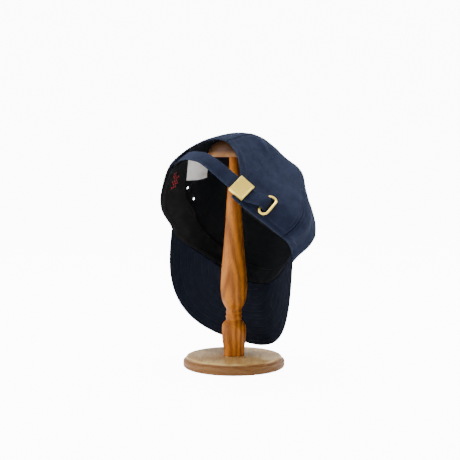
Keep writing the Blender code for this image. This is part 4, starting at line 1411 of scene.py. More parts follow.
@dataclass
class SlotRing(CapPart):
    """The brass ring round the slot that takes the strap's end."""

    sizes: RingSizes = RingSizes()

    def build(self, panel: CrownPanel) -> None:
        """Model the ring and cut the slot through the panel.

        Args:
            panel: The right back panel.
        """
        size = self.sizes
        corners = rounded_slot(size.length - size.wire, size.width - size.wire, size.corner, 10)
        loop = resample(np.array(corners + corners[:1]), 72, closed=True)
        ring = self.form.loop_at(size.direction, size.level, loop, size.wire / 2 + size.lift)
        self.piece = wire_loop("slot_ring_wire", ring, lambda index, turn: size.wire / 2, 16)
        hole = rounded_slot(size.length - 2 * size.wire, size.width - 2 * size.wire, size.corner / 2.5, 4)
        panel.pierce(size.direction, size.level, hole)

    def dress(self, brass: Material) -> None:
        """Give the ring its brass."""
        settle(self.piece, brass, Slot.BRASS, "slot_ring")


@dataclass
class Eyelet(CapPart):
    """One vent: a ring of buttonhole stitches round a hole in a side panel."""

    BORE = 0.0031
    WIRE = 0.0012
    LIFT = 0.0001

    node: str
    direction: float
    level: float

    def build(self, panel: CrownPanel) -> None:
        """Model the stitched ring and cut its hole.

        Args:
            panel: The panel that carries it.
        """
        loop = circle(self.BORE / 2 + self.WIRE / 2, 96)
        ring = self.form.loop_at(self.direction, self.level, loop, self.LIFT)
        self.piece = wire_loop(self.node + "_thread", ring, self._radius, 10)
        panel.pierce(self.direction, self.level, circle(self.BORE / 2, 24))

    def _radius(self, index: int, turn: float) -> float:
        """Radius of the thread ring, notched between its stitches."""
        return self.WIRE / 2 * (0.86 + 0.14 * abs(math.cos(math.pi * index / 4)))

    def dress(self, thread: Material) -> None:
        """Give the vent its thread."""
        settle(self.piece, thread, Slot.THREAD, self.node)


@dataclass
class TopButton(CapPart):
    """The cloth-covered button over the six panels' meeting point."""

    RADIUS = 0.0075
    HEIGHT = 0.0050
    LIFT = 0.0006
    PROFILE = ((0.0, 1.0), (0.25, 0.97), (0.48, 0.88), (0.68, 0.74), (0.84, 0.55), (0.95, 0.32),
               (1.0, 0.12), (0.96, 0.0), (0.0, 0.0))

    def build(self) -> None:
        """Turn the button and set it on the crown."""
        form = self.form
        rim = form.surface(np.radians(np.arange(0, 360, 15)), form.sizes.top_level)
        pole = np.array([*form.surface(0.0, 1.0)[:2], rim[:, 2].max()])
        outward = np.linalg.svd(rim - rim.mean(0))[2][2]
        outward = outward if outward[2] > 0 else -outward
        matrix = form.matrix_at(pole + outward * self.LIFT, unit(np.cross([0.0, 1.0, 0.0], outward)), outward)
        points = [(r * self.RADIUS, z * self.HEIGHT) for r, z in self.PROFILE]
        self.piece = lathe("button_cloth", points, 48)
        self.piece.data.transform(matrix)

    def dress(self, cloth: Material) -> None:
        """Give the button its cloth."""
        settle(self.piece, cloth, Slot.TWILL, "top_button")


@dataclass
class CareLabel(CapPart):
    """The bare white care label sewn over the sweatband's edge."""

    THICKNESS = 0.0006
    CORNERS = ((221.0, 0.1620, -3.0), (239.2, 0.1540, -3.0), (245.4, 0.3140, -11.0), (231.0, 0.3320, -11.0))
    STEP = 0.0008
    CURL = 0.0020
    FLUTTER = 0.0004

    size: tuple[float, float] = field(init=False)

    def build(self) -> None:
        """Model the tab with its soft curl."""
        form = self.form
        low_start, low_end, high_end, high_start = (
            form.point(math.radians(direction), level, np.array(lift * self.STEP))
            for direction, level, lift in self.CORNERS)
        inward = -form.normal(math.radians(238.0), 0.25)
        up = np.linspace(0, 1, 33)[:, None, None]
        side = np.linspace(0, 1, 25)[None, :, None]
        low = low_start + (low_end - low_start) * side
        high = high_start + (high_end - high_start) * side
        curl = np.sin(math.pi * up) * self.CURL + np.sin(2 * math.pi * side + 0.6) * up * self.FLUTTER
        grid = form.place(low + (high - low) * up + inward * curl)
        self.piece = slab("care_label_cloth", grid, self.THICKNESS / 2, -self.THICKNESS / 2)
        width = np.linalg.norm(np.diff(grid, axis=1), axis=-1).sum(1).mean()
        length = np.linalg.norm(np.diff(grid, axis=0), axis=-1).sum(0).mean()
        self.size = (float(width), float(length))

    def dress(self, cloth: Material) -> None:
        settle(self.piece, cloth, Slot.LABEL, "care_label")


# The stand

def lathe(name: str, points: Outline, steps: int) -> Object:
    """Solid turned about Z.

    Args:
        name: Name of the piece.
        points: Radius and height from the top down, both ends on the axis.
        steps: Steps round.

    Returns:
        The solid, shaded smooth with its sharp corners kept.
    """
    mesh = bpy.data.meshes.new(name)
    edges = [(index, index + 1) for index in range(len(points) - 1)]
    mesh.from_pydata([(radius, 0.0, height) for radius, height in points], edges, [])
    piece = bpy.data.objects.new(name, mesh)
    bpy.context.scene.collection.objects.link(piece)
    tidy(piece)
    bpy.ops.object.mode_set(mode="EDIT")
    bpy.ops.mesh.select_all(action="SELECT")
    bpy.ops.mesh.spin(steps=steps, angle=2 * math.pi, center=(0, 0, 0), axis=(0, 0, 1))
    bpy.ops.mesh.select_all(action="SELECT")
    bpy.ops.mesh.remove_doubles(threshold=0.000005)
    bpy.ops.mesh.normals_make_consistent(inside=False)
    bpy.ops.object.mode_set(mode="OBJECT")
    bpy.ops.object.shade_smooth_by_angle(angle=math.radians(32))
    return piece


def turned_line(stations: Outline, parts: int) -> list[tuple[float, float]]:
    """Smooth line through profile stations."""
    table = np.array(stations)
    wanted = np.linspace(0, len(table) - 1, (len(table) - 1) * parts + 1)
    return list(zip(smooth_curve(table[:, 0], wanted), smooth_curve(table[:, 1], wanted)))


@dataclass(frozen=True)
class StandSizes:
    """Sizes of the stand."""

    base_radius: float = 0.0555
    base_thickness: float = 0.0124
    post_top: float = 0.2290
    post_radius: float = 0.0146
    foot_width: float = 0.0264
    foot_chamfer: float = 0.0046
    foot_height: float = 0.0386
    knob_radius: float = 0.0280
    knob_height: float = 0.0211
    gap: float = 0.0003
    foot_rounding: float = 0.0004


@dataclass
class HatStand:
    """The turned stand: a moulded round base, a post with a square foot, and a knob."""

    BASE = ((0.0, 1.0), (0.80, 1.0), (0.880, 1.0), (0.915, 0.975), (0.937, 0.900), (0.945, 0.790),
            (0.945, 0.700), (0.978, 0.660), (0.996, 0.590), (1.0, 0.480), (1.0, 0.200), (0.992, 0.080),
            (0.970, 0.0), (0.0, 0.0))
    POST = ((0.2240, 0.600), (0.2292, 0.573), (0.2345, 0.606), (0.2397, 0.622), (0.2450, 0.600),
            (0.2508, 0.548), (0.2555, 0.590), (0.2603, 0.606), (0.2651, 0.590), (0.2716, 0.553),
            (0.2800, 0.595), (0.2987, 0.765), (0.3179, 0.884), (0.3371, 0.946), (0.3563, 0.980),
            (0.3755, 0.999), (0.3948, 0.990), (0.4332, 0.968), (0.4716, 0.922), (0.5100, 0.865),
            (0.5480, 0.811), (0.5865, 0.760), (0.6245, 0.716), (0.6629, 0.673), (0.7009, 0.626),
            (0.7389, 0.591), (0.7961, 0.535), (0.8528, 0.474), (0.9096, 0.414), (0.9616, 0.366),
            (1.0, 0.360))
    FOOT = ((0.0, 0.830, 0.640), (0.110, 0.845, 0.640), (0.310, 0.905, 0.640), (0.420, 0.950, 0.640),
            (0.530, 0.983, 0.630), (0.650, 1.0, 0.600), (0.770, 0.992, 0.545), (0.880, 0.960, 0.470),
            (0.950, 0.930, 0.395), (1.0, 0.900, 0.332))
    KNOB = ((0.0, 1.0), (0.200, 0.985), (0.400, 0.930), (0.580, 0.835), (0.740, 0.700), (0.870, 0.530),
            (0.960, 0.340), (1.0, 0.170), (0.985, 0.060), (0.930, 0.0), (0.0, 0.0))

    sizes: StandSizes = StandSizes()
    base: Object = field(init=False)
    post: Object = field(init=False)
    knob: Object = field(init=False)

    def build(self) -> None:
        """Model the three pieces."""
        size = self.sizes
        rim = turned_line([(r * size.base_radius, z * size.base_thickness) for r, z in self.BASE[2:-1]], 4)
        top = [(r * size.base_radius, z * size.base_thickness) for r, z in self.BASE[:2]]
        self.base = lathe("base_wood", top + rim + [(0.0, 0.0)], 128)
        crown = turned_line([(r * size.knob_radius, size.post_top + z * size.knob_height)
                             for r, z in self.KNOB[:-1]], 4)
        self.knob = lathe("knob_wood", crown + [(0.0, size.post_top)], 96)
        self.post = self._post()

    def _post(self) -> Object:
        """The square foot cut round by the lathe, with the beads and the vase on it."""
        size = self.sizes
        floor = size.base_thickness + size.gap
        foot_top = floor + size.foot_height
        bpy.ops.mesh.primitive_plane_add(size=1, location=(0, 0, floor))
        foot = bpy.context.active_object
        foot.scale = (size.foot_width * self.FOOT[0][1], size.foot_width * self.FOOT[0][1], 1)
        bpy.ops.object.transform_apply(location=True, scale=True)
        bpy.ops.object.mode_set(mode="EDIT")
        bpy.ops.mesh.select_all(action="SELECT")
        bpy.ops.mesh.bevel(offset=size.foot_chamfer, affect="VERTICES")
        lines = turned_line([(flats, share) for share, flats, _ in self.FOOT], 3)
        for (before, low), (after, high) in zip(lines, lines[1:]):
            bpy.ops.mesh.extrude_region_move(
                TRANSFORM_OT_translate={"value": (0, 0, (high - low) * size.foot_height)})
            bpy.ops.transform.resize(value=(after / before, after / before, 1))
        bpy.ops.object.mode_set(mode="OBJECT")
        face_outward(foot)
        corners = turned_line([(corner * size.foot_width, floor + share * size.foot_height)
                               for share, _, corner in self.FOOT], 4)[::-1]
        low_edge = [(corners[-1][0], floor - 0.002), (0.0, floor - 0.002)]
        cutter = lathe("foot_lathe", [(0.0, foot_top)] + corners + low_edge, 96)
        trim(foot, cutter, "INTERSECT")
        shaft = turned_line([(r * size.post_radius, share * size.post_top) for share, r in self.POST], 3)
        shaft = [(r, min(z, size.post_top - size.gap)) for r, z in shaft][::-1]
        vase = lathe("post_wood", [(0.0, shaft[0][1])] + shaft + [(0.0, shaft[-1][1])], 96)
        soften(foot, size.foot_rounding, 2, 28)
        bpy.ops.object.shade_smooth_by_angle(angle=math.radians(32))
        vase.select_set(True)
        bpy.context.view_layer.objects.active = vase
        bpy.ops.object.join()
        return vase

    def dress(self, base_wood: Material, post_wood: Material, knob_wood: Material) -> None:
        """Give the stand its woods."""
        settle(self.base, base_wood, Slot.PALE_WOOD, "stand_base")
        settle(self.post, post_wood, Slot.OILED_WOOD, "stand_post")
        settle(self.knob, knob_wood, Slot.OILED_WOOD, "stand_knob")


# Finishes

@dataclass
class Graph:
    """Short way to lay nodes in one node tree."""

    tree: Tree

    def add(self, kind: str, inputs: Optional[dict] = None, **settings) -> Node:
        """Add one node.

        Args:
            kind: Node type.
            inputs: Sockets or constants for its named inputs.
            **settings: Properties of the node.

        Returns:
            The node.
        """
        node = self.tree.nodes.new(kind)
        for key, value in settings.items():
            setattr(node, key, value)
        self.feed(node, inputs or {})
        return node

    def feed(self, node: Node, inputs: dict) -> None:
        """Link or set inputs of a node.

        Args:
            node: The node.
            inputs: Sockets or constants for its named inputs.
        """
        for key, value in inputs.items():
            if isinstance(value, Socket):
                self.tree.links.new(value, node.inputs[key])
            else:
                node.inputs[key].default_value = value

    def math(self, operation: str, first: object, second: object = 0.0, third: object = 0.5,
             clamp: bool = False) -> Socket:
        """One sum on values."""
        inputs = {0: first, 1: second, 2: third}
        return self.add("ShaderNodeMath", inputs, operation=operation, use_clamp=clamp).outputs[0]

    def mix(self, share: object, first: object, second: object) -> Socket:
        """Mix of two colours by the second's share."""
        return self.add("ShaderNodeMix", {0: share, 6: first, 7: second}, data_type="RGBA").outputs[2]

    def ramp(self, value: object, low: float, high: float, start: float = 0.0, end: float = 1.0) -> Socket:
        """Smooth ramp of a value."""
        node = self.add("ShaderNodeMapRange", {0: value, 1: low, 2: high, 3: start, 4: end},
                        interpolation_type="SMOOTHSTEP")
        return node.outputs[0]

    def noise(self, place: Socket, scale: float, detail: float = 3.0, rough: float = 0.5) -> Socket:
        """Noise value at a place."""
        inputs = {"Vector": place, "Scale": scale, "Detail": detail, "Roughness": rough}
        return self.add("ShaderNodeTexNoise", inputs).outputs["Fac"]

    def bump(self, strength: float, distance: float, height: Socket) -> Node:
        """Bump from a height."""
        return self.add("ShaderNodeBump", {"Strength": strength, "Distance": distance, "Height": height})


class Effect(Enum):
    """Shared effects, each one node group."""

    TWILL = "TwillWeave"
    WOOD = "WoodGrain"
    WEAR = "ClothWear"
    SCUFF = "MetalScuff"


def start_group(effect: Effect, outputs: Sequence[str], extra: Optional[dict[str, float]] = None) -> tuple:
    """Start a node group that works over a place.

    Args:
        effect: The effect.
        outputs: Names of the value outputs.
        extra: Value inputs beside the place, with their defaults.

    Returns:
        The graph, the place, the input node and the output node.
    """
    tree = bpy.data.node_groups.new(effect.value, "ShaderNodeTree")
    tree.interface.new_socket(name="Place", in_out="INPUT", socket_type="NodeSocketVector")
    for name, default in (extra or {}).items():
        socket = tree.interface.new_socket(name=name, in_out="INPUT", socket_type="NodeSocketFloat")
        socket.default_value = default
    for name in outputs:
        tree.interface.new_socket(name=name, in_out="OUTPUT", socket_type="NodeSocketFloat")
    graph = Graph(tree)
    given = graph.add("NodeGroupInput")
    return graph, given.outputs["Place"], given, graph.add("NodeGroupOutput")


def twill_group() -> Tree:
    """Diagonal twill over flat cloth places in metres: height and yarn shade."""
    graph, place, given, out = start_group(Effect.TWILL, ("Height", "Shade"), {"Pitch": 0.0009})
    pitch = given.outputs["Pitch"]
    split = graph.add("ShaderNodeSeparateXYZ", {0: place})
    stray = graph.noise(place, 420.0, 2.0)
    across = graph.math("ADD", split.outputs[0], graph.math("MULTIPLY", stray, 0.0006))
    slant = graph.math("DIVIDE", graph.math("ADD", across, split.outputs[1]), pitch)
    rib = graph.math("MULTIPLY_ADD", graph.math("SINE", graph.math("MULTIPLY", slant, 2 * math.pi)), 0.5, 0.5)
    yarn_turn = graph.math("MULTIPLY", graph.math("DIVIDE", split.outputs[1], pitch), 3.1 * math.pi)
    yarn = graph.math("MULTIPLY_ADD", graph.math("SINE", yarn_turn), 0.5, 0.5)
    fuzz = graph.noise(place, 2600.0, 2.0, 0.7)
    height = graph.math("ADD", graph.math("MULTIPLY", rib, graph.math("MULTIPLY_ADD", yarn, 0.35, 0.5)),
                        graph.math("MULTIPLY", fuzz, 0.45))
    shade = graph.math("ADD", graph.math("MULTIPLY", rib, 0.45), graph.math("MULTIPLY", fuzz, 0.55),
                       clamp=True)
    graph.feed(out, {"Height": height, "Shade": shade})
    return graph.tree


def wear_group() -> Tree:
    """Wear of washed cloth: faded edges and soft blotches."""
    graph, place, given, out = start_group(Effect.WEAR, ("Faded", "Blotch"), {"Edge": 0.0})
    patchy = graph.noise(place, 90.0, 4.0, 0.6)
    broken = graph.noise(place, 700.0, 3.0, 0.7)
    edge = graph.math("MULTIPLY", given.outputs["Edge"], graph.ramp(broken, 0.30, 0.68), clamp=True)
    graph.feed(out, {"Faded": edge, "Blotch": graph.ramp(patchy, 0.32, 0.70)})
    return graph.tree


def wood_group() -> Tree:
    """Grain along the place's Z: broad figure, fine pores and height."""
    graph, place, _, out = start_group(Effect.WOOD, ("Figure", "Pores", "Height"))
    sway = graph.add("ShaderNodeTexNoise", {"Vector": place, "Scale": 14.0, "Detail": 2.0})
    bend = graph.add("ShaderNodeVectorMath", {0: sway.outputs["Color"], 1: (0.014, 0.014, 0.014)},
                     operation="MULTIPLY")
    bent = graph.add("ShaderNodeVectorMath", {0: place, 1: bend.outputs[0]}, operation="ADD")
    rings = graph.add("ShaderNodeMapping", {"Vector": bent.outputs[0], "Scale": (1.0, 1.0, 0.10)})
    wave = graph.add("ShaderNodeTexWave", {"Vector": rings.outputs[0], "Scale": 62.0, "Distortion": 3.5,
                                           "Detail": 2.0, "Detail Scale": 1.4},
                     wave_type="RINGS", rings_direction="Y", wave_profile="SIN")
    fine = graph.add("ShaderNodeMapping", {"Vector": place, "Scale": (1.0, 1.0, 0.045)})
    fibre = graph.noise(fine.outputs[0], 900.0, 4.0, 0.65)
    pores = graph.ramp(graph.noise(fine.outputs[0], 1900.0, 2.0, 0.5), 0.60, 0.70)
    figure = graph.math("ADD", graph.math("MULTIPLY", wave.outputs["Fac"], 0.45),
                        graph.math("MULTIPLY", fibre, 0.55))
    height = graph.math("SUBTRACT", graph.math("MULTIPLY", fibre, 0.3), pores)
    graph.feed(out, {"Figure": figure, "Pores": pores, "Height": height})
    return graph.tree


def scuff_group() -> Tree:
    """Fine brushing and dull marks of handled metal."""
    graph, place, _, out = start_group(Effect.SCUFF, ("Brush", "Marks"))
    drawn = graph.add("ShaderNodeMapping", {"Vector": place, "Scale": (1.0, 0.06, 1.0),
                                            "Rotation": (0.4, 0.2, 0.7)})
    brush = graph.noise(drawn.outputs[0], 3200.0, 3.0, 0.6)
    marks = graph.noise(place, 240.0, 4.0, 0.65)
    graph.feed(out, {"Brush": brush, "Marks": graph.ramp(marks, 0.42, 0.72)})
    return graph.tree


@dataclass(frozen=True)
class Finish:
    """Base of every finish: its name and the shared effects."""

    name: str

    def start(self) -> tuple[Material, Graph, Node]:
        """Start the material.

        Returns:
            The material, its graph and its Principled shader.
        """
        material = bpy.data.materials.new(self.name)
        material.use_nodes = True
        return material, Graph(material.node_tree), material.node_tree.nodes["Principled BSDF"]

    @staticmethod
    def effect(graph: Graph, effect: Effect, inputs: dict) -> Node:
        """Group node of a shared effect."""
        return graph.add("ShaderNodeGroup", inputs, node_tree=bpy.data.node_groups[effect.value])


@dataclass(frozen=True)
class TwillFinish(Finish):
    """Washed cotton twill, with a darker inner face that is partly the cloth's duller wrong side and partly
    painted shade.
    """

    dark: Triple
    light: Triple
    faded: Triple
    # Colour of the lower face: partly the wrong side's own colour, partly painted shade.
    inner: Triple
    pitch: float = 0.0009
    weave_depth: float = 0.00010
    sheen: float = 0.035
    inner_face_and_shade_share: float = 1.0

    def make(self) -> Material:
        """Build the material.

        Returns:
            The material.
        """
        material, graph, shader = self.start()
        cloth = graph.add("ShaderNodeUVMap", uv_map="cloth").outputs[0]
        whole = graph.add("ShaderNodeTexCoord").outputs["Object"]
        worn = graph.add("ShaderNodeAttribute", attribute_name="worn").outputs["Fac"]
        under = graph.add("ShaderNodeAttribute", attribute_name="under").outputs["Fac"]
        twill = self.effect(graph, Effect.TWILL, {"Place": cloth, "Pitch": self.pitch})
        wear = self.effect(graph, Effect.WEAR, {"Place": whole, "Edge": worn})
        tone = graph.math("ADD", graph.math("MULTIPLY", twill.outputs["Shade"], 0.62),
                          graph.math("MULTIPLY", wear.outputs["Blotch"], 0.38))
        colour = graph.mix(tone, (*self.dark, 1), (*self.light, 1))
        colour = graph.mix(graph.math("MULTIPLY", wear.outputs["Faded"], 0.55), colour, (*self.faded, 1))
        # Lower faces go towards the inner colour: partly the cloth's wrong side, partly painted shade of the
        # crown's interior and the peak's underside.
        colour = graph.mix(graph.math("MULTIPLY", under, self.inner_face_and_shade_share), colour, (*self.inner, 1))
        weave = graph.bump(0.6, self.weave_depth, twill.outputs["Height"])
        crease = graph.bump(0.5, 0.0006, graph.noise(whole, 260.0, 4.0, 0.62))
        graph.feed(crease, {"Normal": weave.outputs[0]})
        rough = graph.ramp(twill.outputs["Shade"], 0.0, 1.0, 0.95, 0.80)
        graph.feed(shader, {"Base Color": colour, "Roughness": rough, "Normal": crease.outputs[0]})
        shader.inputs["Sheen Weight"].default_value = self.sheen
        shader.inputs["Sheen Roughness"].default_value = 0.45
        shader.inputs["Sheen Tint"].default_value = (0.45, 0.62, 1.0, 1.0)
        shader.inputs["Specular IOR Level"].default_value = 0.08
        return material


@dataclass(frozen=True)
class ThreadFinish(Finish):
    """Twisted sewing thread."""

    colour: Triple
    light: Triple
    shine: float = 0.35

    def make(self) -> Material:
        """Build the material.

        Returns:
            The material.
        """
        material, graph, shader = self.start()
        whole = graph.add("ShaderNodeTexCoord").outputs["Object"]
        strand = graph.noise(whole, 3200.0, 2.0)
        graph.feed(shader, {"Base Color": graph.mix(strand, (*self.colour, 1), (*self.light, 1)),
                            "Roughness": graph.ramp(strand, 0.2, 0.8, 0.75, 0.50),
                            "Normal": graph.bump(0.5, 0.00006, strand).outputs[0]})
        shader.inputs["Sheen Weight"].default_value = self.shine
        shader.inputs["Sheen Roughness"].default_value = 0.35
        shader.inputs["Specular IOR Level"].default_value = 0.2
        return material


@dataclass(frozen=True)
class WoodFinish(Finish):
    """Varnished wood with its grain along one axis, and painted shade between two heights."""

    dark: Triple
    light: Triple
    pore: Triple
    turn: Triple = (0.0, 0.0, 0.0)
    coat: float = 0.6
    coat_roughness: float = 0.12
    roughness: float = 0.38
    gloss: float = 0.35
    # The next colour and the two heights paint shade: the wood darkens towards that colour between those
    # heights.
    painted_shade: Triple = (0.10, 0.03, 0.006)
    shade_start_height: float = 2.0
    shade_full_height: float = 3.0

    def make(self) -> Material:
        """Build the material.

        Returns:
            The material.
        """
        material, graph, shader = self.start()
        whole = graph.add("ShaderNodeTexCoord").outputs["Object"]
        turned = graph.add("ShaderNodeMapping", {"Vector": whole, "Rotation": self.turn})
        grain = self.effect(graph, Effect.WOOD, {"Place": turned.outputs[0]})
        colour = graph.mix(grain.outputs["Figure"], (*self.dark, 1), (*self.light, 1))
        colour = graph.mix(graph.math("MULTIPLY", grain.outputs["Pores"], 0.6), colour, (*self.pore, 1))
        # Painted shade: the colour is darkened between two heights, on the knob's top under the crown and on
        # the base's side below its top.
        height = graph.add("ShaderNodeSeparateXYZ", {0: whole}).outputs[2]
        height = graph.math("ADD", height, graph.math("MULTIPLY", grain.outputs["Figure"], 0.0006))
        shade_share = graph.ramp(height, self.shade_start_height, self.shade_full_height)
        colour = graph.mix(graph.math("MULTIPLY", shade_share, 0.85), colour, (*self.painted_shade, 1))
        rough = graph.ramp(grain.outputs["Figure"], 0.2, 0.9, self.roughness + 0.08, self.roughness - 0.06)
        relief = graph.bump(0.35, 0.00012, grain.outputs["Height"])
        graph.feed(shader, {"Base Color": colour, "Roughness": rough, "Normal": relief.outputs[0]})
        shader.inputs["Coat Weight"].default_value = self.coat
        shader.inputs["Coat Roughness"].default_value = self.coat_roughness
        shader.inputs["Specular IOR Level"].default_value = self.gloss
        return material


@dataclass(frozen=True)
class BrassFinish(Finish):
    """Satin brass-plated metal."""

    colour: Triple
    dull: Triple

    def make(self) -> Material:
        """Build the material.

        Returns:
            The material.
        """
        material, graph, shader = self.start()
        whole = graph.add("ShaderNodeTexCoord").outputs["Object"]
        scuff = self.effect(graph, Effect.SCUFF, {"Place": whole})
        share = graph.math("MULTIPLY", scuff.outputs["Marks"], 0.35)
        colour = graph.mix(share, (*self.colour, 1), (*self.dull, 1))
        rough = graph.math("ADD", graph.ramp(scuff.outputs["Brush"], 0.25, 0.75, 0.26, 0.38),
                           graph.math("MULTIPLY", scuff.outputs["Marks"], 0.10))
        relief = graph.bump(0.25, 0.00004, scuff.outputs["Brush"])
        graph.feed(shader, {"Base Color": colour, "Roughness": rough, "Normal": relief.outputs[0]})
        shader.inputs["Metallic"].default_value = 1.0
        return material


BASE_TOP = StandSizes().base_thickness
KNOB_FOOT = StandSizes().post_top


class Finishes:
    """Every finish of the scene."""

    # The crown's dark neutral inner colour is partly painted shade of its interior.
    twill = TwillFinish(
        "navy_twill_cloth", dark=(0.0078, 0.0108, 0.0265), light=(0.0215, 0.0290, 0.0620),
        faded=(0.055, 0.075, 0.125), inner=(0.0105, 0.0108, 0.0122))
    # Painted shade: the peak's twill is a darker copy of the crown's, and its under face is darker still.
    peak = TwillFinish(
        "navy_twill_peak_painted_shade", dark=(0.0060, 0.0085, 0.0200), light=(0.0160, 0.0215, 0.0440),
        faded=(0.045, 0.058, 0.095), inner=(0.0036, 0.0048, 0.0085), inner_face_and_shade_share=0.75)
    tape = TwillFinish(
        "black_tape_cloth", dark=(0.0065, 0.0065, 0.0070), light=(0.0190, 0.0190, 0.0200),
        faded=(0.016, 0.016, 0.017), inner=(0.006, 0.006, 0.0065), pitch=0.0007, sheen=0.02, inner_face_and_shade_share=0.0)
    label = TwillFinish(
        "white_label_cloth", dark=(0.88, 0.88, 0.87), light=(0.96, 0.96, 0.95), faded=(0.85, 0.85, 0.84),
        inner=(0.7, 0.7, 0.69), pitch=0.0005, weave_depth=0.00004, sheen=0.1, inner_face_and_shade_share=0.2)
    thread = ThreadFinish(
        "navy_thread_fibre", (0.0060, 0.0100, 0.0260), (0.0200, 0.0300, 0.0620), shine=0.05)
    black_thread = ThreadFinish(
        "black_thread_fibre", (0.004, 0.004, 0.0045), (0.012, 0.012, 0.013), shine=0.02)
    # Painted shade: the navy thread made darker for the peak's shaded underside.
    under_thread_painted_shade = ThreadFinish(
        "navy_thread_fibre_painted_shade", (0.0034, 0.0045, 0.0080), (0.0080, 0.0105, 0.0175), shine=0.02)
    red_thread = ThreadFinish("red_thread_fibre", (0.28, 0.020, 0.025), (0.50, 0.05, 0.05))
    post_wood = WoodFinish(
        "oiled_oak", dark=(0.15, 0.034, 0.0045), light=(0.78, 0.255, 0.0220), pore=(0.11, 0.026, 0.001),
        coat=0.05, coat_roughness=0.25, roughness=0.46, gloss=0.18)
    # Painted shade: the knob's top is darkened where the crown's shadow falls on it.
    knob_wood = WoodFinish(
        "oak_knob_painted_shade", dark=(0.30, 0.11, 0.03), light=(0.55, 0.27, 0.10), pore=(0.11, 0.026, 0.004),
        coat=0.10, coat_roughness=0.3, roughness=0.5, painted_shade=(0.035, 0.012, 0.004),
        shade_start_height=KNOB_FOOT + 0.002, shade_full_height=KNOB_FOOT + 0.0075)
    # Painted shade darkens the base's side below its top edge. The very pale light colour partly paints the
    # top's bright reflection.
    base_wood = WoodFinish(
        "oiled_oak_base", dark=(0.40, 0.18, 0.036), light=(0.99, 0.70, 0.27), pore=(0.20, 0.085, 0.02),
        turn=(math.radians(90), 0.0, math.radians(90)), coat=0.25, coat_roughness=0.25, roughness=0.5,
        gloss=0.2, painted_shade=(0.20, 0.062, 0.006), shade_start_height=BASE_TOP - 0.0004,
        shade_full_height=BASE_TOP - 0.0022)
    brass = BrassFinish("satin_brass", (1.0, 0.72, 0.13), (0.80, 0.54, 0.10))


# The studio

@dataclass(frozen=True)
class Lamp:
    """One soft light."""

    name: str
    place: Triple
    size: float
    power: float


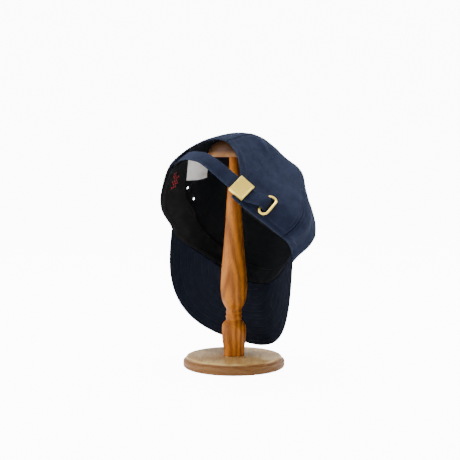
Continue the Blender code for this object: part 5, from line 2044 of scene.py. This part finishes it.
class Studio:
    """Pale sweep, soft lights and the photograph's camera."""

    AIM = (0.0, 0.0, 0.14)
    CAMERA = (-0.0043, -1.182, 0.2406)
    TILT = math.radians(85.6)
    SENSOR = 36.0
    FOCAL_PIXELS = 1090
    PICTURE_PIXELS = 460
    LAMPS = (
        Lamp("key_left", (-1.9, -0.25, 0.45), 1.6, 31.0),
        Lamp("top_soft", (-0.1, 0.35, 1.8), 1.1, 48.0),
        Lamp("back_right", (1.5, 0.3, 0.8), 0.9, 14.0),
        Lamp("front_fill", (-0.95, -1.7, 0.14), 0.8, 11.0),
    )

    def build(self) -> None:
        """Make the sweep, lights, world and camera."""
        self._sweep()
        for lamp in self.LAMPS:
            bpy.ops.object.light_add(type="AREA", location=lamp.place)
            light = bpy.context.active_object
            light.name = lamp.name
            light.data.size = lamp.size
            light.data.energy = lamp.power
            aim = Vector(self.AIM) - Vector(lamp.place)
            light.rotation_euler = aim.to_track_quat("-Z", "Y").to_euler()
        world = bpy.data.worlds.new("soft_white")
        bpy.context.scene.world = world
        world.use_nodes = True
        sky = world.node_tree.nodes["Background"]
        sky.inputs["Color"].default_value = (1.0, 1.0, 1.0, 1.0)
        sky.inputs["Strength"].default_value = 0.28
        self._camera()

    def _sweep(self) -> None:
        """Floor that curves up into a backdrop."""
        bpy.ops.mesh.primitive_plane_add(size=9, location=(0, -1.0, 0))
        floor = bpy.context.active_object
        floor.name = "pale_sweep"
        bpy.ops.object.transform_apply(location=True, scale=True)
        bpy.ops.object.mode_set(mode="EDIT")
        shell = bmesh.from_edit_mesh(floor.data)
        for edge in shell.edges:
            edge.select = all(vertex.co.y > 3 for vertex in edge.verts)
        shell.select_flush_mode()
        bpy.ops.mesh.extrude_region_move(TRANSFORM_OT_translate={"value": (0, 0, 4.5)})
        shell = bmesh.from_edit_mesh(floor.data)
        for edge in shell.edges:
            edge.select = all(vertex.co.y > 3 and vertex.co.z < 0.01 for vertex in edge.verts)
        bpy.ops.mesh.bevel(offset=1.6, segments=16, affect="EDGES")
        bpy.ops.object.mode_set(mode="OBJECT")
        bpy.ops.object.shade_smooth_by_angle(angle=math.radians(40))
        floor.data.materials.append(self._paper())

    @staticmethod
    def _paper() -> Material:
        """White paper that the camera sees lit through from behind."""
        material, graph, shader = Finish("pale_paper").start()
        shader.inputs["Base Color"].default_value = (0.88, 0.88, 0.88, 1.0)
        shader.inputs["Roughness"].default_value = 0.75
        shader.inputs["Emission Color"].default_value = (1.0, 1.0, 1.0, 1.0)
        path = graph.add("ShaderNodeLightPath")
        seen = graph.math("MULTIPLY", path.outputs["Is Camera Ray"], 11.0)
        mirrored = graph.math("MULTIPLY", path.outputs["Is Glossy Ray"], 0.85)
        graph.feed(shader, {"Emission Strength": graph.math("ADD", seen, mirrored)})
        return material

    def _camera(self) -> None:
        """The photograph's camera."""
        bpy.ops.object.camera_add(location=self.CAMERA, rotation=(self.TILT, 0.0, 0.0))
        camera = bpy.context.active_object
        camera.name = "photo_camera"
        camera.data.sensor_width = self.SENSOR
        camera.data.lens = self.SENSOR * self.FOCAL_PIXELS / self.PICTURE_PIXELS
        bpy.context.scene.camera = camera


def build_cap(form: CapForm, finishes: Finishes) -> None:
    """Build and dress every piece of the cap.

    Args:
        form: Shape of the cap.
        finishes: The finishes.
    """
    twill = finishes.twill.make()
    thread = finishes.thread.make()
    brass = finishes.brass.make()
    crown = Crown(form)
    crown.build()
    for node, direction, level, panel in EYELETS:
        eyelet = Eyelet(form, node, direction, level)
        eyelet.build(crown.panels[panel])
        eyelet.dress(thread)
    ring = SlotRing(form)
    ring.build(crown.panels["panel_rear_right"])
    ring.dress(brass)
    crown.dress(twill, thread)
    peak = Peak(form)
    peak.build()
    peak.dress(finishes.peak.make(), thread, finishes.under_thread_painted_shade.make())
    band = Sweatband(form)
    band.build()
    band.dress(finishes.tape.make(), finishes.black_thread.make(), finishes.red_thread.make())
    buckle = Buckle(form)
    buckle.build()
    buckle.dress(brass)
    strap = RearStrap(form, buckle)
    strap.build()
    strap.dress(twill, thread)
    button = TopButton(form)
    button.build()
    button.dress(twill)
    label = CareLabel(form)
    label.build()
    label.dress(finishes.label.make())


def main() -> None:
    """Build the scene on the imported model."""
    logging.basicConfig(level=logging.INFO, format="%(message)s")
    for make_group in (twill_group, wear_group, wood_group, scuff_group):
        make_group()
    finishes = Finishes()
    stand = HatStand()
    stand.build()
    stand.dress(finishes.base_wood.make(), finishes.post_wood.make(), finishes.knob_wood.make())
    build_cap(CapForm(), finishes)
    Studio().build()


if __name__ == "__main__":
    main()
